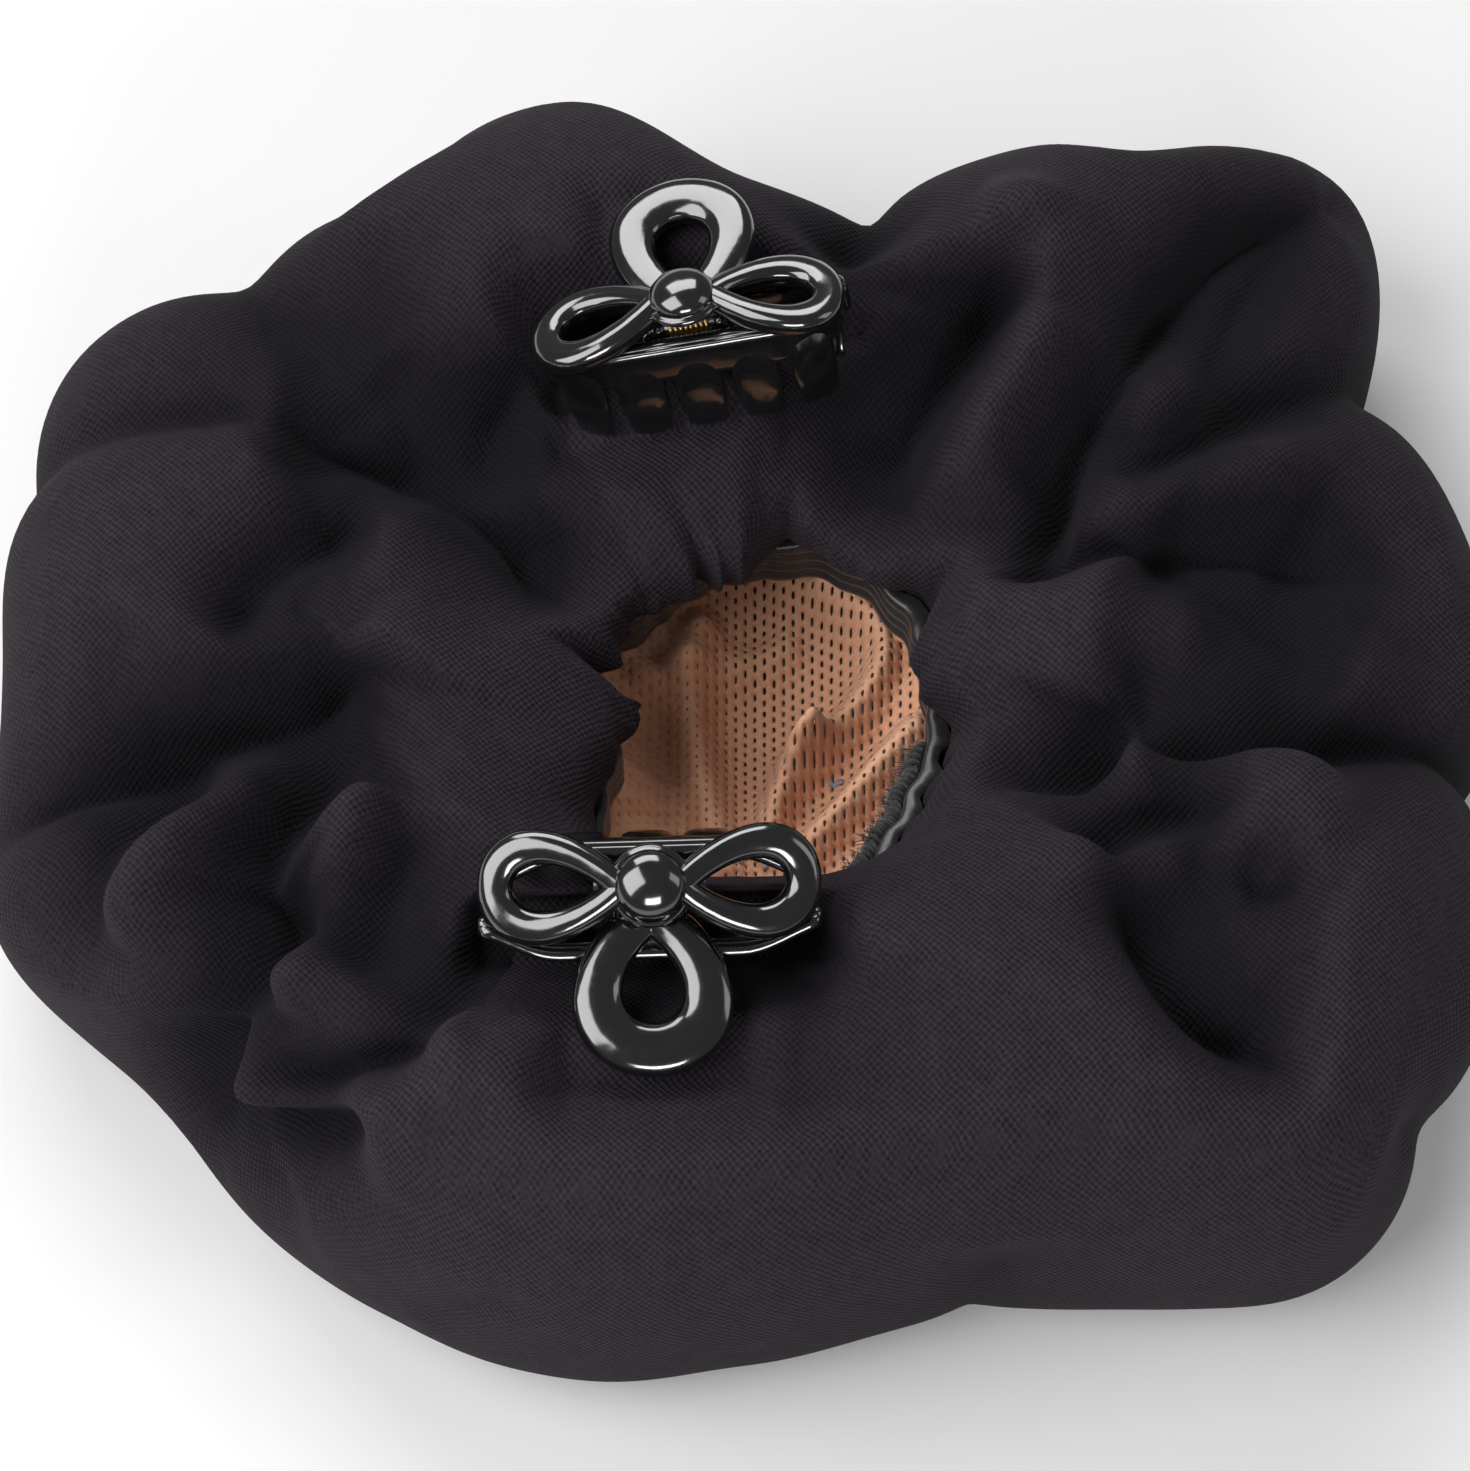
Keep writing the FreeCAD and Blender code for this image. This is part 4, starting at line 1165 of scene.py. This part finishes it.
def ear(x):
    """A drilled ear on the hinge line."""
    outline = ((-1, EAR_RADIUS), (1, EAR_RADIUS), (1, PIN_HOLE), (-1, PIN_HOLE))
    places = []
    for a in full_turn(EAR_SIDES):
        for face, radius in outline:
            y = radius * math.cos(a)
            z = HINGE_Z + radius * math.sin(a)
            places.append((x + face * EAR_HALF_THICK, y, z))
    return np.array(places), closed_faces(EAR_SIDES, len(outline))


def wall_place(wall, x, t):
    """A place on a comb wall's middle face: x along it, t from its top to its tips."""
    y = through(wall.top_y, wall.belly_y, wall.tip_y, t)
    z = through(wall.top_z, wall.belly_z, wall.tip_z, t)
    bend = smooth((np.abs(x) - 0.55 * wall.half_length) / (0.6 * wall.half_length))
    return np.stack(np.broadcast_arrays(x, wall.side * (y - WALL_BEND * bend), z), -1)


def comb_wall(wall):
    """The wall's upper part in one bar, and the broad curved teeth below it."""
    x = np.linspace(-wall.half_length, wall.half_length, 41)
    band = wall_place(wall, x, 0.16)
    rim = wall_place(wall, x, 0.02)
    parts = [
        loft(band, Y_AXIS, Z_AXIS, TOOTH_HALF_THICK, 1.9, 4.0, 20),
        loft(rim, Y_AXIS, Z_AXIS, 0.75, 0.6, 2.2, 14),
    ]
    pitch = 2 * wall.half_length / TEETH
    t = np.linspace(0.12, 1, 15)
    for i in range(TEETH):
        middle = -wall.half_length + pitch * (i + 0.5)
        path = wall_place(wall, middle, t)
        along = np.gradient(path, axis=0)
        along /= np.linalg.norm(along, axis=1, keepdims=True)
        out = np.cross(along, X_AXIS)
        half = (pitch / 2 - SLOT_HALF) * (1 - TOOTH_TAPER * smooth((t - 0.5) * 2))
        thick = TOOTH_HALF_THICK * (1 - TOOTH_THINNING * t)
        slope = wall_place(wall, middle + 1.0, 0.5) - wall_place(wall, middle - 1.0, 0.5)
        slope /= np.linalg.norm(slope)
        parts.append(loft(path, slope, out, half, thick, 2.2, 20))
    return parts


def bow_parts():
    """The knot, its two loops and their comb."""
    droop = math.radians(LOOP_DROOP)
    parts = [knot()]
    for side in (-1, 1):
        flat, faces = petal(LOOP_OUTER, LOOP_HOLE, LOOP_HALF_THICK)
        along, across, height = flat.T
        x = side * (along * math.cos(droop) + height * math.sin(droop))
        z = -along * math.sin(droop) + height * math.cos(droop) - 0.15
        parts.append((np.stack((x, -side * across, z), -1), faces))
        ear_x = side * BOW_EAR_X
        parts.append(ear(ear_x))
        post = straight((ear_x, 0, HINGE_Z + 0.95), (side * 3.4, -0.3, -1.2))
        parts.append(loft(post, X_AXIS, Y_AXIS, 0.42, 0.8, 3.0, 12))
        brace = straight((ear_x, -0.9, HINGE_Z), (ear_x, -2.9, -4.2))
        parts.append(loft(brace, X_AXIS, Z_AXIS, 0.4, 0.6, 3.0, 12))
    return parts + comb_wall(BOW_WALL)


def ring_parts():
    """The third loop and its comb."""
    rise = math.radians(RING_RISE)
    flat, faces = petal(RING_OUTER, RING_HOLE, RING_TUBE, 128, 20)
    along, across, height = flat.T
    along = np.maximum(along, RING_START)
    past = along - RING_APEX
    y = RING_APEX + past * math.cos(rise) - height * math.sin(rise)
    z = RING_LOW + past * math.sin(rise) + height * math.cos(rise)
    parts = [(np.stack((across, y, z), -1), faces)]
    for side in (-1, 1):
        ear_x = side * RING_EAR_X
        parts.append(ear(ear_x))
        arm = straight((ear_x, 0.9, HINGE_Z), (ear_x, 5.2, -5.0))
        parts.append(loft(arm, X_AXIS, Z_AXIS, 0.4, 0.6, 3.0, 12))
    stem = straight((0, 3.6, -4.2), (0, 5.6, -5.2))
    parts.append(loft(stem, X_AXIS, Z_AXIS, 3.2, 0.8, 3.0, 16))
    return parts + comb_wall(RING_WALL)


def add_jaw(clip, name, parts, material):
    """One jaw, placed from the clip's own frame."""
    axes = np.array(clip_axes(clip))
    placed = [(knot_middle(clip) + places @ axes, faces) for places, faces in parts]
    piece = join_parts(f"{clip.name}_{name}", placed, material)
    face_outward(piece)
    shade_corners(piece)
    return piece


def add_spring(clip, material):
    """A coil round the pin, with one leg."""
    x_dir, y_dir, z_dir = clip_axes(clip)
    middle = knot_middle(clip) + z_dir * HINGE_Z
    t = np.linspace(0, 1, COIL_STEPS * COIL_TURNS + 1)
    wind = 2 * np.pi * COIL_TURNS * t
    path = (
        middle
        + np.outer(-COIL_HALF + 2 * COIL_HALF * t, x_dir)
        + np.outer(COIL_RADIUS * np.cos(wind), y_dir)
        + np.outer(COIL_RADIUS * np.sin(wind), z_dir)
    )
    start = middle + COIL_HALF * x_dir + COIL_RADIUS * y_dir
    leg = start + np.linspace(0, 1, 8)[:, None] * (5.6 * y_dir + 1.1 * z_dir)
    tubes = [tube_along(path, COIL_WIRE, 8), tube_along(leg, COIL_WIRE, 8)]
    return join_parts(f"{clip.name}_coil", tubes, material)


def build():
    add_camera()
    add_surroundings()
    cloth = cloth_material()
    elastic = elastic_material()
    thread = thread_material()
    nude = net_material()
    plastic = clip_material()
    brass = metal_material("brass_wire", (0.55, 0.36, 0.12), (0.8, 0.58, 0.26), 0.3)
    steel = metal_material("steel_wire", (0.42, 0.42, 0.44), (0.6, 0.6, 0.62), 0.35)

    # The cloth's places, and the painted shade that darkens its folds.
    grid, painted_fold_shade = cloth_grid()
    ruffle = add_ruffle(grid, painted_fold_shade, cloth)
    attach(ruffle, "holder")
    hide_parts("ruffle")

    band, steady = add_elastic(grid, elastic)
    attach(band, "holder")
    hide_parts("elastic_band")

    seam = add_seam(steady, thread)
    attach(seam, "holder")
    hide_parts("overlock_seam")

    net, rim = add_net(grid, nude)
    hem = add_hem(rim, grid, nude)
    flecks = add_specks(speck_material())
    for piece in (net, hem, flecks):
        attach(piece, "holder")
    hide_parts("mesh_pouch")

    for clip in CLIPS:
        coil = add_spring(clip, brass)
        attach(coil, "holder")
        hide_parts(f"{clip.name}_spring")
        bow = add_jaw(clip, "bow", bow_parts(), plastic)
        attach(bow, f"{clip.name}_bow")
        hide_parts(f"{clip.name}_bow_jaw")
        ring = add_jaw(clip, "ring", ring_parts(), plastic)
        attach(ring, "holder")
        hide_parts(f"{clip.name}_ring_jaw")
        paint(f"{clip.name}_hinge_pin", steel)


def paint(node, material):
    """A CAD piece keeps its shape and takes this material."""
    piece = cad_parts[node]
    for slot in piece.material_slots:
        slot.link = "OBJECT"
        slot.material = material
    shade_corners(piece)


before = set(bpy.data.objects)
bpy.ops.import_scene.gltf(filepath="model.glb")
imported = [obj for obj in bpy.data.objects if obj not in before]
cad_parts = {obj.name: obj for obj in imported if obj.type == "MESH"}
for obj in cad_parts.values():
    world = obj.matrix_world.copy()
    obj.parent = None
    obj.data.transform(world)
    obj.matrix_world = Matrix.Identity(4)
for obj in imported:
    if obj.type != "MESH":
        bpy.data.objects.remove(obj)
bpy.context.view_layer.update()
build()
